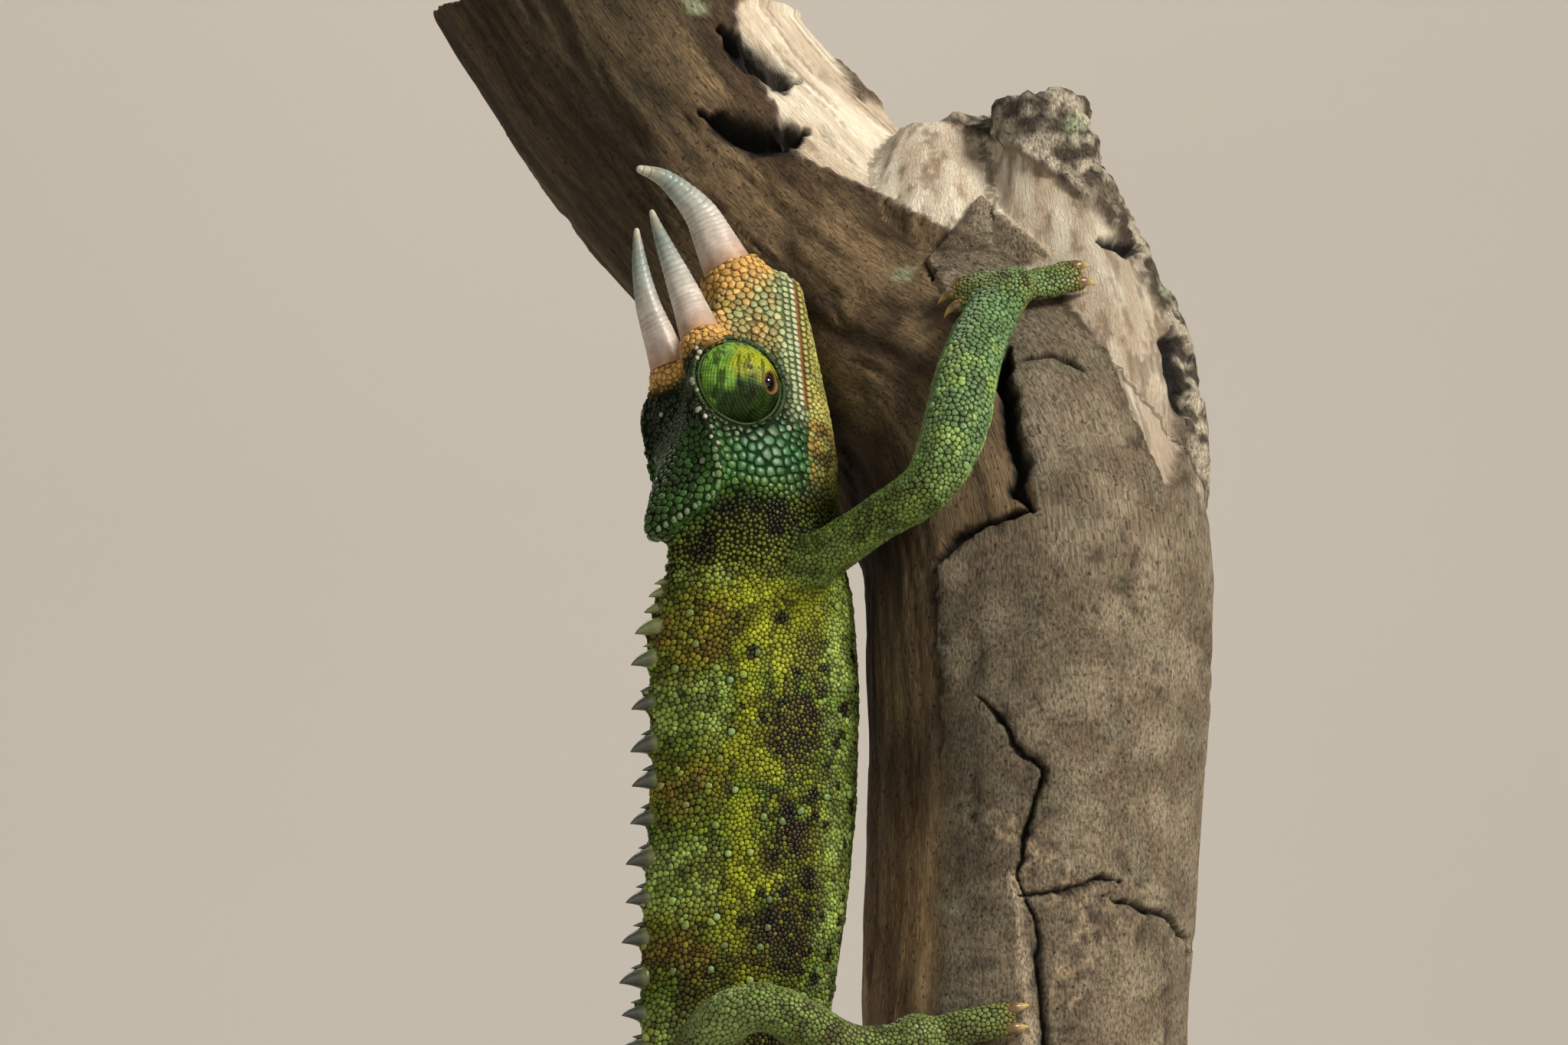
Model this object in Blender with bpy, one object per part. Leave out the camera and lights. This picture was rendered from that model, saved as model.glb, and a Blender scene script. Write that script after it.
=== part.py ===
"""A three-horned chameleon at life size, climbing a cut length of branch on a plain display stand.

Every size is in millimetres until solid() turns it into metres. Most points are given in the
branch's frame: x to the right and y away from the viewer from the trunk's axis, z up from
the level of the hind feet. ORIGIN carries that frame to the underside of the stand.
"""

import math

import bmesh
import bpy
import numpy as np
from mathutils import Matrix, Vector

MM = 0.001
GAP = 0.3
ORIGIN = np.array([20.0, -8.0, 73.0])

# Directions of the head: it turns its crown a quarter towards the viewer and its snout away.
HEAD_TURN = math.radians(25)
HEAD_LEAN = math.radians(18)
HEAD_CENTRE = np.array([-40.85, -6.5, 82.8])

# The body hangs off one side of the trunk, in the upright plane at this turn about the trunk.
BODY_TURN = math.radians(12)
BODY_BACK = np.array([-math.cos(BODY_TURN), -math.sin(BODY_TURN), 0.0])
BODY_RIGHT = np.array([math.sin(BODY_TURN), -math.cos(BODY_TURN), 0.0])

HEAD_SIDES = 30
BODY_SIDES = 22
LIMB_SIDES = 9
TOE_SIDES = 6

EYE_RADIUS = 5.65
EYE_OUT = 6.5
EYE_BACK = 0.8
EYE_OVER = 0.5
LID_OPENING = 0.19
GAZE_RIGHT = (-0.13, -0.52, 0.84)
GAZE_LEFT = (0.42, -0.10, 0.90)

SPINE_FIRST = 8.4
SPINE_PITCH = 5.25
SPINE_HEIGHT = 2.35
SPINE_RADIUS = 1.45
SPINE_LEAN = 0.5
SPINE_ROOT = 1.0

TAIL_CURL_RADIUS = 12.0
TAIL_CURL_TURNS = 1.8
TAIL_CURL_CENTRE = (37.6, -42.0)

COLOURS = {
    "skin_green": ((0.16, 0.27, 0.06), 0.55, 0.0),
    "horn": ((0.62, 0.52, 0.44), 0.35, 0.0),
    "pupil": ((0.01, 0.01, 0.01), 0.1, 0.0),
    "bark": ((0.24, 0.18, 0.14), 0.85, 0.0),
    "base_wood": ((0.10, 0.06, 0.04), 0.4, 0.0),
    "rod_steel": ((0.5, 0.5, 0.5), 0.3, 1.0),
}


# Curves

def smooth_keys(keys, at):
    """Values at the places `at` on a smooth curve through rows of (place, value, value, ...)."""
    keys = np.asarray(keys, float)
    place, value = keys[:, 0], keys[:, 1:]
    slope = np.gradient(value, place, axis=0)
    at = np.clip(np.atleast_1d(np.asarray(at, float)), place[0], place[-1])
    i = np.clip(np.searchsorted(place, at, side="right") - 1, 0, len(place) - 2)
    span = (place[i + 1] - place[i])[:, None]
    u = (at - place[i])[:, None] / span
    return (
        (2 * u**3 - 3 * u**2 + 1) * value[i]
        + (u**3 - 2 * u**2 + u) * span * slope[i]
        + (3 * u**2 - 2 * u**3) * value[i + 1]
        + (u**3 - u**2) * span * slope[i + 1]
    )


def path_through(rows, step):
    """Rows resampled about every `step` mm along a smooth path: x, y, z and any sizes that go with them."""
    rows = np.asarray(rows, float)
    lengths = np.linalg.norm(np.diff(rows[:, :3], axis=0), axis=1)
    keys = np.column_stack([np.concatenate([[0], np.cumsum(lengths)]), rows])
    fine = smooth_keys(keys, np.linspace(0, keys[-1, 0], 400))
    arc = np.concatenate([[0], np.cumsum(np.linalg.norm(np.diff(fine[:, :3], axis=0), axis=1))])
    count = max(3, int(round(arc[-1] / step)) + 1)
    even = np.linspace(0, arc[-1], count)
    return even, np.column_stack([np.interp(even, arc, column) for column in fine.T])


def unit(vectors):
    vectors = np.asarray(vectors, float)
    return vectors / np.linalg.norm(vectors, axis=-1, keepdims=True)


def closed_curve(keys, per_span):
    """A smooth closed outline through keys of shape (rings, corners, 2), `per_span` points a corner."""
    before, after, beyond = (np.roll(keys, shift, axis=1) for shift in (1, -1, -2))
    t = np.arange(per_span) / per_span
    blend = [
        -0.5 * t**3 + t**2 - 0.5 * t,
        1.5 * t**3 - 2.5 * t**2 + 1,
        -1.5 * t**3 + 2 * t**2 + 0.5 * t,
        0.5 * t**3 - 0.5 * t**2,
    ]
    points = sum(
        b[None, None, :, None] * k[:, :, None, :]
        for b, k in zip(blend, (before, keys, after, beyond))
    )
    return points.reshape(len(keys), -1, 2)


def rings_round(centres, side, up, half_side, above, below, sides, ridge=0.0):
    """Rings of an egg-shaped section round a path: `above` and `below` are the reaches along `up` and
    against it, and `ridge` pinches the section towards a keel on its upper side."""
    angle = np.arange(sides) * 2 * math.pi / sides
    lift = np.cos(angle)[None, :]
    pinch = 1 - ridge * np.maximum(lift, 0) ** 2
    across = np.sin(angle)[None, :] * half_side[:, None] * pinch
    along = lift * np.where(lift > 0, above[:, None], below[:, None])
    return centres[:, None] + across[..., None] * side[:, None] + along[..., None] * up[:, None]


# Meshes

def mesh_of(points, faces):
    """A closed mesh object in metres, with its faces pointing out."""
    mesh = bpy.data.meshes.new("piece")
    mesh.from_pydata(((np.asarray(points) + ORIGIN) * MM).tolist(), [], faces)
    shape = bmesh.new()
    shape.from_mesh(mesh)
    bmesh.ops.remove_doubles(shape, verts=shape.verts, dist=0.001 * MM)
    bmesh.ops.recalc_face_normals(shape, faces=shape.faces)
    shape.to_mesh(mesh)
    shape.free()
    made = bpy.data.objects.new("piece", mesh)
    bpy.context.scene.collection.objects.link(made)
    return made


def loft(rings):
    """A closed tube through rings of equal count, with a flat face at each end."""
    count, sides = rings.shape[:2]
    index = np.arange(count * sides).reshape(count, sides)
    ahead = np.roll(index, -1, axis=1)
    quads = np.stack([index[:-1], ahead[:-1], ahead[1:], index[1:]], axis=-1).reshape(-1, 4)
    faces = quads.tolist() + [index[0][::-1].tolist(), index[-1].tolist()]
    return mesh_of(rings.reshape(-1, 3), faces)


def is_closed(mesh):
    """True where each edge of a mesh borders exactly two of its triangles."""
    shape = bmesh.new()
    shape.from_mesh(mesh)
    bmesh.ops.triangulate(shape, faces=shape.faces)
    closed = len(shape.faces) > 3 and all(len(edge.link_faces) == 2 for edge in shape.edges)
    shape.free()
    return closed


def boolean(target, others, operation):
    """Joins the others to the target or cuts them from it, and removes them."""
    if not others:
        return target
    group = bpy.data.collections.new("tools")
    bpy.context.scene.collection.children.link(group)
    for other in others:
        bpy.context.scene.collection.objects.unlink(other)
        group.objects.link(other)
    cut = target.modifiers.new("cut", "BOOLEAN")
    cut.operand_type = "COLLECTION"
    cut.collection = group
    cut.operation = operation
    for solver in ("EXACT", "MANIFOLD"):
        cut.solver = solver
        graph = bpy.context.evaluated_depsgraph_get()
        result = bpy.data.meshes.new_from_object(target.evaluated_get(graph))
        if is_closed(result):
            break
    target.modifiers.clear()
    target.data = result
    for other in others:
        bpy.data.objects.remove(other)
    bpy.data.collections.remove(group)
    return target


def shells_of(shape):
    """The connected sets of vertices of a bmesh."""
    left = set(shape.verts)
    shells = []
    while left:
        shell = {left.pop()}
        front = list(shell)
        while front:
            near = {e.other_vert(v) for v in front for e in v.link_edges} - shell
            shell |= near
            front = list(near)
        left -= shell
        shells.append(shell)
    return shells


def keep_largest(target):
    """Drops every closed surface of the mesh but the one with the largest span."""
    shape = bmesh.new()
    shape.from_mesh(target.data)
    shells = shells_of(shape)

    def span(shell):
        co = np.array([v.co for v in shell])
        return float(np.linalg.norm(co.max(0) - co.min(0)))

    keep = max(shells, key=span)
    bmesh.ops.delete(shape, geom=[v for v in shape.verts if v not in keep], context="VERTS")
    bmesh.ops.triangulate(shape, faces=shape.faces)
    shape.to_mesh(target.data)
    shape.free()
    return target


def node(name, finish, pieces, cutters=()):
    """One named solid: its pieces joined, the cutters taken away, the largest body kept."""
    made = boolean(pieces[0], pieces[1:], "UNION")
    made = boolean(made, list(cutters), "DIFFERENCE")
    keep_largest(made)
    made.name = made.data.name = name
    colour, roughness, metallic = COLOURS[finish]
    material = bpy.data.materials.get(finish) or bpy.data.materials.new(finish)
    material.use_nodes = True
    shader = material.node_tree.nodes["Principled BSDF"]
    shader.inputs["Base Color"].default_value = (*colour, 1)
    shader.inputs["Roughness"].default_value = roughness
    shader.inputs["Metallic"].default_value = metallic
    made.data.materials.clear()
    made.data.materials.append(material)
    made.data.shade_smooth()
    made.data.set_sharp_from_angle(angle=math.radians(40))
    return made


def cone_piece(centres, radii, sides):
    """A round tapering solid through a few centres, such as a horn, a spine or a claw."""
    centres = np.asarray(centres, float)
    radii = np.asarray(radii, float)
    along = unit(np.gradient(centres, axis=0))
    aside = np.array([0.3, 0.2, 0.93]) if abs(along[0, 2]) < 0.8 else np.array([0.93, 0.2, 0.3])
    side = unit(np.cross(along, aside))
    up = np.cross(side, along)
    return loft(rings_round(centres, side, up, radii, radii, radii, sides))


def ball(centre, radius, rows=7, sides=14):
    """A sphere as a loft whose end rings are nearly closed."""
    angle = np.linspace(0.04, math.pi - 0.04, rows + 2)
    centres = np.asarray(centre, float) + np.outer(-np.cos(angle) * radius, [0, 0, 1])
    return cone_piece(centres, np.sin(angle) * radius, sides)


# The head

def head_frame():
    """Forward, crown and right of the head."""
    turn = np.array(Matrix.Rotation(-HEAD_LEAN, 3, "X") @ Matrix.Rotation(HEAD_TURN, 3, "Z"))
    return turn @ np.array([0, 0, 1.0]), turn @ np.array([-1.0, 0, 0]), turn @ np.array([0, -1.0, 0])


FORWARD, CROWN, RIGHT = head_frame()


def in_head(forward, crown, right):
    """Points given along the head's own axes, from midway between the eyes."""
    forward, crown, right = (np.asarray(v, float)[..., None] for v in (forward, crown, right))
    return HEAD_CENTRE + forward * FORWARD + crown * CROWN + right * RIGHT


# forward, crown, crest (right, crown), cheek (right, crown), lip (right, crown), jaw (right, crown), chin
HEAD_OUTLINE = (
    (-15.0, 7.4, 6.4, 3.8, 8.2, -2.0, 7.6, -8.4, 5.8, -13.6, -17.0),
    (-11.0, 7.4, 7.4, 4.2, 8.7, -3.0, 7.9, -9.4, 6.1, -14.0, -17.0),
    (-6.0, 6.2, 7.4, 5.4, 8.6, -3.4, 7.8, -9.4, 6.0, -13.9, -16.4),
    (-2.0, 5.0, 6.9, 6.3, 8.1, -4.0, 7.5, -9.3, 5.7, -13.5, -15.6),
    (3.0, 4.2, 6.3, 6.0, 7.2, -4.2, 6.7, -9.3, 5.1, -12.8, -14.6),
    (8.0, 3.0, 5.0, 4.0, 6.1, -3.6, 5.9, -9.3, 4.4, -12.1, -13.5),
    (12.0, 1.4, 3.6, 1.6, 5.3, -3.6, 5.1, -9.2, 3.8, -11.5, -12.5),
    (16.0, 0.2, 2.8, 0.2, 4.7, -3.9, 4.4, -9.0, 3.1, -11.0, -11.8),
    (18.6, -1.4, 2.2, -1.6, 3.7, -4.4, 3.4, -8.8, 2.3, -10.5, -11.1),
    (19.9, -3.4, 1.2, -3.6, 2.0, -5.2, 1.9, -8.4, 1.2, -9.8, -10.2),
)
CHEEK_REAR = -15.0
SNOUT_FRONT = 19.9
MOUTH_LEVEL = -9.3
MOUTH_CORNER = -1.0
THROAT_REAR = -12.0

# forward, top, edge (right, crown) of the casque that overhangs the neck
CASQUE_OUTLINE = (
    (-20.5, 9.5, 1.2, 8.6),
    (-19.3, 9.8, 3.8, 7.2),
    (-17.6, 9.7, 6.4, 4.6),
    (-15.5, 9.3, 7.7, 3.4),
    (-12.0, 8.3, 7.5, 4.0),
    (-8.0, 7.0, 6.4, 4.6),
)


def head_loft(grow=0.0):
    """The skull, cheeks and throat as one loft of ten-cornered sections."""
    forward = np.linspace(CHEEK_REAR - grow, SNOUT_FRONT + grow, 18)
    crown, crest_r, crest_c, cheek_r, cheek_c, lip_r, lip_c, jaw_r, jaw_c, chin = smooth_keys(
        HEAD_OUTLINE, forward
    ).T
    zero = np.zeros_like(crown)
    right = [zero, crest_r, cheek_r, lip_r, jaw_r, zero, -jaw_r, -lip_r, -cheek_r, -crest_r]
    up = [crown, crest_c, cheek_c, lip_c, jaw_c, chin, jaw_c, lip_c, cheek_c, crest_c]
    outline = closed_curve(np.stack([np.stack(right, 1), np.stack(up, 1)], -1), HEAD_SIDES // 10)
    middle = outline.mean(axis=1, keepdims=True)
    outline = outline + unit(outline - middle) * grow
    return loft(in_head(forward[:, None], outline[..., 1], outline[..., 0]))


def casque_loft(grow=0.0):
    """The helmet's rear, which stands over the neck with a free lower edge."""
    forward = np.linspace(CASQUE_OUTLINE[0][0], CASQUE_OUTLINE[-1][0], 9)
    top, edge_r, edge_c = smooth_keys(CASQUE_OUTLINE, forward).T
    forward[0] -= grow
    edge_r = edge_r + grow
    rows = np.stack(
        [
            np.stack([0 * top, edge_r * 0.55, edge_r, edge_r * 0.7, 0 * top], 1),
            np.stack(
                [
                    top + grow,
                    edge_c * 0.35 + top * 0.65 + grow,
                    edge_c,
                    edge_c - 1.3 - grow,
                    edge_c * 0.6 + top * 0.4 - 2.6 - grow,
                ],
                1,
            ),
        ],
        -1,
    )
    mirrored = rows[:, 3:0:-1] * [-1, 1]
    outline = closed_curve(np.concatenate([rows, mirrored], axis=1), 2)
    return loft(in_head(forward[:, None], outline[..., 1], outline[..., 0]))


def mouth_plate():
    """The thin slit of the closed mouth, from the lips to its corner and down behind the jaw."""
    wide = 14.0
    line = (
        (SNOUT_FRONT + 4, MOUTH_LEVEL + 0.3),
        (SNOUT_FRONT - 3, MOUTH_LEVEL + 0.1),
        (8.0, MOUTH_LEVEL),
        (MOUTH_CORNER + 2, MOUTH_LEVEL),
        (MOUTH_CORNER - 2, MOUTH_LEVEL - 0.6),
        (THROAT_REAR + 4, MOUTH_LEVEL - 3.6),
        (THROAT_REAR, MOUTH_LEVEL - 9.0),
    )
    line = np.array(line)
    normal = unit(np.column_stack([-np.gradient(line[:, 1]), np.gradient(line[:, 0])]))
    rings = []
    for (forward, crown), (n_f, n_c) in zip(line, normal):
        rings.append(
            [
                in_head(forward + n_f * s * GAP / 2, crown + n_c * s * GAP / 2, wide * r)
                for s, r in ((1, -1), (1, 1), (-1, 1), (-1, -1))
            ]
        )
    return loft(np.array(rings))


# name: base (forward, crown, right), tip offset rows of (forward, crown, right), radii at base and tip
HORNS = {
    "horn_nose": (
        (19.8, -1.5, 0.0),
        ((3.3, 1.8, 0), (6.8, 3.8, 0), (9.1, 6.2, 0), (11.0, 9.2, 0), (11.6, 13.0, 0)),
        (2.75, 0.75),
    ),
    "horn_right": (
        (6.6, 4.5, 4.9),
        ((4.0, 1.3, -0.5), (8.0, 2.8, -0.9), (12.0, 4.3, -1.4), (15.0, 5.4, -1.7), (17.5, 6.2, -1.9)),
        (2.25, 0.4),
    ),
    "horn_left": (
        (6.6, 4.5, -4.9),
        ((3.5, 1.6, 0.5), (7.2, 3.3, 0.9), (11.0, 4.5, 1.4), (14.6, 5.2, 1.7), (17.8, 5.6, 1.9)),
        (2.1, 0.4),
    ),
}
COLLAR_LENGTH = 3.6


def horn_path(name):
    """The centres of a horn in the head's own axes."""
    base, offsets, _ = HORNS[name]
    return np.array([base] + [np.add(base, offset) for offset in offsets])


def horn(name, grow=0.0):
    """A horn: a tapered curve from the end of its collar to a blunt tip."""
    _, _, (thick, thin) = HORNS[name]
    _, centres = path_through(horn_path(name), 1.6)
    share = np.linspace(0, 1, len(centres))
    radii = thick * (1 - share) ** 0.85 + thin
    radii = np.append(radii, radii[-1] * 0.35)
    centres = np.vstack([centres, centres[-1] + unit(centres[-1] - centres[-2]) * thin * 0.6])
    centres[0] += unit(centres[1] - centres[0]) * (GAP - grow)
    return cone_piece(in_head(*centres.T), radii + grow, 10)


def collar(name):
    """The swollen ring of scaly skin that a horn grows from."""
    _, _, (thick, thin) = HORNS[name]
    path = horn_path(name)
    along = unit(path[1] - path[0])
    back = path[0] - along * COLLAR_LENGTH * 1.6
    centres = np.array([back, path[0] - along * COLLAR_LENGTH * 0.5, path[0]])
    return cone_piece(in_head(*centres.T), np.array([1.5, 1.36, 1.12]) * (thick + thin), 12)


def eye_centre(hand):
    return in_head(-EYE_BACK, EYE_OVER, hand * EYE_OUT)


def gaze_of(hand):
    forward, crown, right = unit(GAZE_RIGHT if hand > 0 else GAZE_LEFT)
    return forward * FORWARD + crown * CROWN + right * hand * RIGHT


# distance along the gaze and radius, from the back of the turret to the rim of its small opening
TURRET_PROFILE = (
    (-0.995, 0.10),
    (-0.87, 0.50),
    (-0.50, 0.87),
    (0.0, 1.0),
    (0.42, 0.905),
    (0.72, 0.70),
    (0.93, 0.43),
    (1.04, 0.30),
    (1.03, 0.22),
    (0.93, LID_OPENING),
)


def turret(hand):
    """The cone of fused lids round the eyeball, turned about the gaze, open at its tip."""
    gaze = gaze_of(hand)
    profile = np.array(TURRET_PROFILE) * EYE_RADIUS
    centres = eye_centre(hand) + profile[:, :1] * gaze
    aside = unit(np.cross(gaze, CROWN))
    up = np.cross(aside, gaze)
    many = len(profile)
    radii = profile[:, 1]
    return loft(
        rings_round(centres, np.tile(aside, (many, 1)), np.tile(up, (many, 1)), radii, radii, radii, 16)
    )


def pupil(hand):
    """The bead of the eye that shows in the opening of the lids."""
    gaze = gaze_of(hand)
    start = eye_centre(hand) + gaze * (0.93 * EYE_RADIUS + GAP)
    centres = start + np.outer([0, 0.2, 0.42, 0.55], gaze)
    radii = np.array([1.0, 0.95, 0.6, 0.15]) * (LID_OPENING * EYE_RADIUS - GAP / 3)
    return cone_piece(centres, radii, 8)


def orbit_rim(hand):
    """A raised fold of skin round the turret."""
    angle = np.linspace(0, 2 * math.pi, 21)[:-1]
    out = EYE_OUT + 1.0
    centre_radius = EYE_RADIUS + 0.65
    thick = 0.85
    points = []
    for turn in np.linspace(0, 2 * math.pi, 7)[:-1]:
        radius = centre_radius + thick * math.cos(turn)
        lift = thick * math.sin(turn)
        forward = radius * np.cos(angle) - EYE_BACK
        crown = radius * np.sin(angle) * 0.98 + EYE_OVER
        points.append(in_head(forward, crown, hand * (out + lift + 0 * angle)))
    grid = np.array(points)
    many, sides = grid.shape[:2]
    index = np.arange(many * sides).reshape(many, sides)
    over = np.roll(index, -1, axis=0)
    quads = np.stack(
        [index, np.roll(index, -1, axis=1), np.roll(over, -1, axis=1), over], axis=-1
    ).reshape(-1, 4)
    return mesh_of(grid.reshape(-1, 3), quads.tolist())


def crest_ridge(hand):
    """The raised line from the orbit back along the temple to the casque's rear corner."""
    rows = (
        (5.2, 5.4, 5.6, 0.9),
        (1.0, 6.3, 6.9, 1.0),
        (-5.0, 5.9, 7.6, 0.9),
        (-10.4, 4.0, 8.3, 1.0),
        (-14.6, 3.2, 7.9, 0.7),
    )
    _, rows = path_through([(f, c, hand * r, thick) for f, c, r, thick in rows], 3.4)
    return cone_piece(in_head(*rows[:, :3].T), rows[:, 3], 6)


def nostril(hand):
    """A small pit on the side of the snout, behind the nose horn's collar."""
    mouth = in_head(15.4, -4.0, hand * 5.4)
    deep = in_head(14.6, -4.0, hand * 3.4)
    return cone_piece([mouth, deep], [0.75, 0.4], 8)


def make_head():
    slit = mouth_plate()
    whole = boolean(head_loft(), [slit], "DIFFERENCE")
    upper, lower = split_apart(whole)
    pieces = [upper, casque_loft()]
    pieces += [collar(name) for name in HORNS]
    pieces += [orbit_rim(hand) for hand in (1, -1)] + [crest_ridge(hand) for hand in (1, -1)]
    cutters = [ball(eye_centre(hand), EYE_RADIUS + GAP, 9, 20) for hand in (1, -1)]
    cutters += [nostril(hand) for hand in (1, -1)] + [horn(name, GAP) for name in HORNS]
    node("head", "skin_green", pieces, cutters)
    node("lower_jaw", "skin_green", [lower])
    for hand, side in ((1, "right"), (-1, "left")):
        node("eye_" + side, "skin_green", [turret(hand)])
        node("pupil_" + side, "pupil", [pupil(hand)])
    for name in HORNS:
        node(name, "horn", [horn(name)])


def split_apart(whole):
    """The two bodies that the slit leaves, the one nearer the crown first."""
    shape = bmesh.new()
    shape.from_mesh(whole.data)
    shells = sorted(shells_of(shape), key=len)[-2:]
    shells.sort(key=lambda shell: -float(np.mean([np.dot(v.co, CROWN) for v in shell])))
    bodies = []
    for shell in shells:
        order = {v: i for i, v in enumerate(sorted(shell, key=lambda v: v.index))}
        points = [np.array(v.co) / MM - ORIGIN for v in order]
        faces = [[order[v] for v in f.verts] for f in shape.faces if f.verts[0] in shell]
        bodies.append(mesh_of(points, faces))
    shape.free()
    bpy.data.objects.remove(whole)
    return bodies


# The body and tail

# out from the trunk's axis, height, reach to the back, reach to the belly, half width
BODY = (
    (36.5, 56.0, 13.0, 13.0, 8.6),
    (36.8, 48.0, 13.8, 13.8, 9.0),
    (36.8, 36.0, 13.6, 13.7, 9.2),
    (37.4, 24.0, 13.5, 13.4, 9.2),
    (38.5, 13.0, 13.1, 13.0, 8.6),
    (39.4, 5.0, 12.5, 12.6, 7.8),
    (41.3, -3.0, 10.6, 11.4, 6.8),
    (43.8, -9.5, 8.1, 8.6, 5.7),
    (46.0, -16.0, 6.2, 6.2, 4.8),
    (47.8, -24.0, 5.0, 4.9, 4.0),
    (49.1, -33.0, 4.1, 4.0, 3.4),
)
NECK_START = (-15.3, -5.1)
NECK_SIZES = (11.0, 11.6, 8.3)
NECK_BLEND = 16.0
TAIL_CURL_SIZE = 2.9
TAIL_TIP_SIZE = 0.55
BODY_STEP = 3.1
NECK_END, CHEST_END, BELLY_END, HIPS_END = 8.0, 33.0, 62.0, 84.0
TAIL_PARTS = 5


def sagittal(out, height):
    """A point in the upright plane of the body: `out` from the trunk's axis, at this height."""
    return BODY_BACK * out + np.array([0, 0, height])


def body_rows():
    """The path of the back bone with its sizes: neck, torso and tail, whose end curls to the belly."""
    rows = [(*in_head(*NECK_START, 0.0), *NECK_SIZES)]
    rows += [(*sagittal(out, height), *sizes) for out, height, *sizes in BODY]
    shrink = math.log(2) / (2 * math.pi)
    turns = np.linspace(0.0, TAIL_CURL_TURNS * 2 * math.pi, int(TAIL_CURL_TURNS * 14))
    for turn in turns:
        radius = TAIL_CURL_RADIUS * math.exp(-shrink * turn)
        out = TAIL_CURL_CENTRE[0] + radius * math.cos(turn)
        height = TAIL_CURL_CENTRE[1] - radius * math.sin(turn)
        share = turn / turns[-1]
        size = TAIL_CURL_SIZE * (1 - share) ** 0.9 + TAIL_TIP_SIZE
        aside = -1.2 * share
        point = sagittal(out, height) + BODY_RIGHT * aside
        rows.append((*point, size, size, size * 0.86))
    return np.array(rows)


BODY_ARC, BODY_PATH = path_through(body_rows(), 0.5)


def body_at(arc):
    """Centre, back direction, right direction, tail direction and sizes at distances along the body."""
    arc = np.atleast_1d(np.asarray(arc, float))
    rows = np.column_stack([np.interp(arc, BODY_ARC, column) for column in BODY_PATH.T])
    tangent = np.gradient(BODY_PATH[:, :3], BODY_ARC, axis=0)
    tangent = unit(np.column_stack([np.interp(arc, BODY_ARC, c) for c in tangent.T]))
    turned = np.clip(arc / NECK_BLEND, 0, 1)[:, None]
    turned = turned * turned * (3 - 2 * turned)
    tangent = unit(tangent * turned - FORWARD * (1 - turned))
    right = unit(RIGHT * (1 - turned) + BODY_RIGHT * turned)
    back = unit(np.cross(tangent, right))
    right = np.cross(back, tangent)
    return rows[:, :3], back, right, tangent, rows[:, 3], rows[:, 4], rows[:, 5]


def body_loft(start, end, grow=0.0, step=BODY_STEP, sides=BODY_SIDES):
    """A length of neck, torso or tail, closed by flat faces."""
    arc = np.linspace(start, end, max(3, int(round((end - start) / step)) + 1))
    centre, back, right, _, above, below, wide = body_at(arc)
    keel = np.clip((above - 3.0) / 10.0, 0, 1) * 0.42
    rings = np.concatenate(
        [
            rings_round(
                centre[i : i + 1],
                right[i : i + 1],
                back[i : i + 1],
                wide[i : i + 1] + grow,
                above[i : i + 1] + grow,
                below[i : i + 1] + grow,
                sides,
                keel[i],
            )
            for i in range(len(arc))
        ]
    )
    return loft(rings)


def spine_sizes():
    """Places and scales of the back's spines: each large one has a small one just ahead of it. The
    first few stand close together on the nape, and they dwindle along the tail."""
    places = []
    last = HIPS_END + 44.0
    arc = SPINE_FIRST
    count = 0
    while arc < last:
        fade = 1 - 0.75 * max(0.0, (arc - HIPS_END + 12) / (last - HIPS_END + 12))
        rise = min(1.0, 0.5 + 0.17 * count)
        wander = 1 + 0.08 * math.sin(count * 2.3)
        places.append((arc, rise * fade * wander))
        if count > 3:
            places.append((arc - 1.6 * fade, 0.42 * fade))
        nape = math.exp(-((count / 2.6) ** 2))
        arc += (SPINE_PITCH * (1 + 0.05 * math.sin(count * 1.7)) - 4.0 * nape) * (0.6 + 0.4 * fade)
        count += 1
    return places


def spines_between(start, end):
    """The back spines whose roots lie on one length of the body."""
    made = []
    for arc, scale in spine_sizes():
        reach = SPINE_RADIUS * scale + GAP
        if not start + reach < arc < end - reach:
            continue
        centre, back, right, tangent, above, _, _ = (v[0] for v in body_at(arc))
        centre = centre + right * 0.05 * (1 if len(made) % 2 else -1)
        lean = unit(back + tangent * SPINE_LEAN)
        foot = centre + back * (above - SPINE_ROOT)
        tip = centre + back * above + lean * SPINE_HEIGHT * scale
        middle = foot * 0.5 + tip * 0.5
        radius = SPINE_RADIUS * scale
        made.append(cone_piece([foot, middle, tip], [radius * 1.1, radius * 0.74, 0.1], 6))
    return made


def make_body():
    ends = [0.0, NECK_END, CHEST_END, BELLY_END, HIPS_END]
    tail = np.linspace(HIPS_END, BODY_ARC[-1], TAIL_PARTS + 1)[1:]
    names = ["neck", "chest", "belly", "hips"] + [f"tail_{i + 1}" for i in range(TAIL_PARTS)]
    ends += list(tail)
    for i, name in enumerate(names):
        start = ends[i] + (GAP / 2 if i else 0)
        end = ends[i + 1] - (GAP / 2 if i < len(names) - 1 else 0)
        slim = name.startswith("tail")
        pieces = [body_loft(start, end, step=2.9 if slim else BODY_STEP, sides=10 if slim else BODY_SIDES)]
        pieces += spines_between(start, end)
        cutters = [casque_loft(GAP)] if name == "neck" else []
        node(name, "skin_green", pieces, cutters)


# The branch

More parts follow.
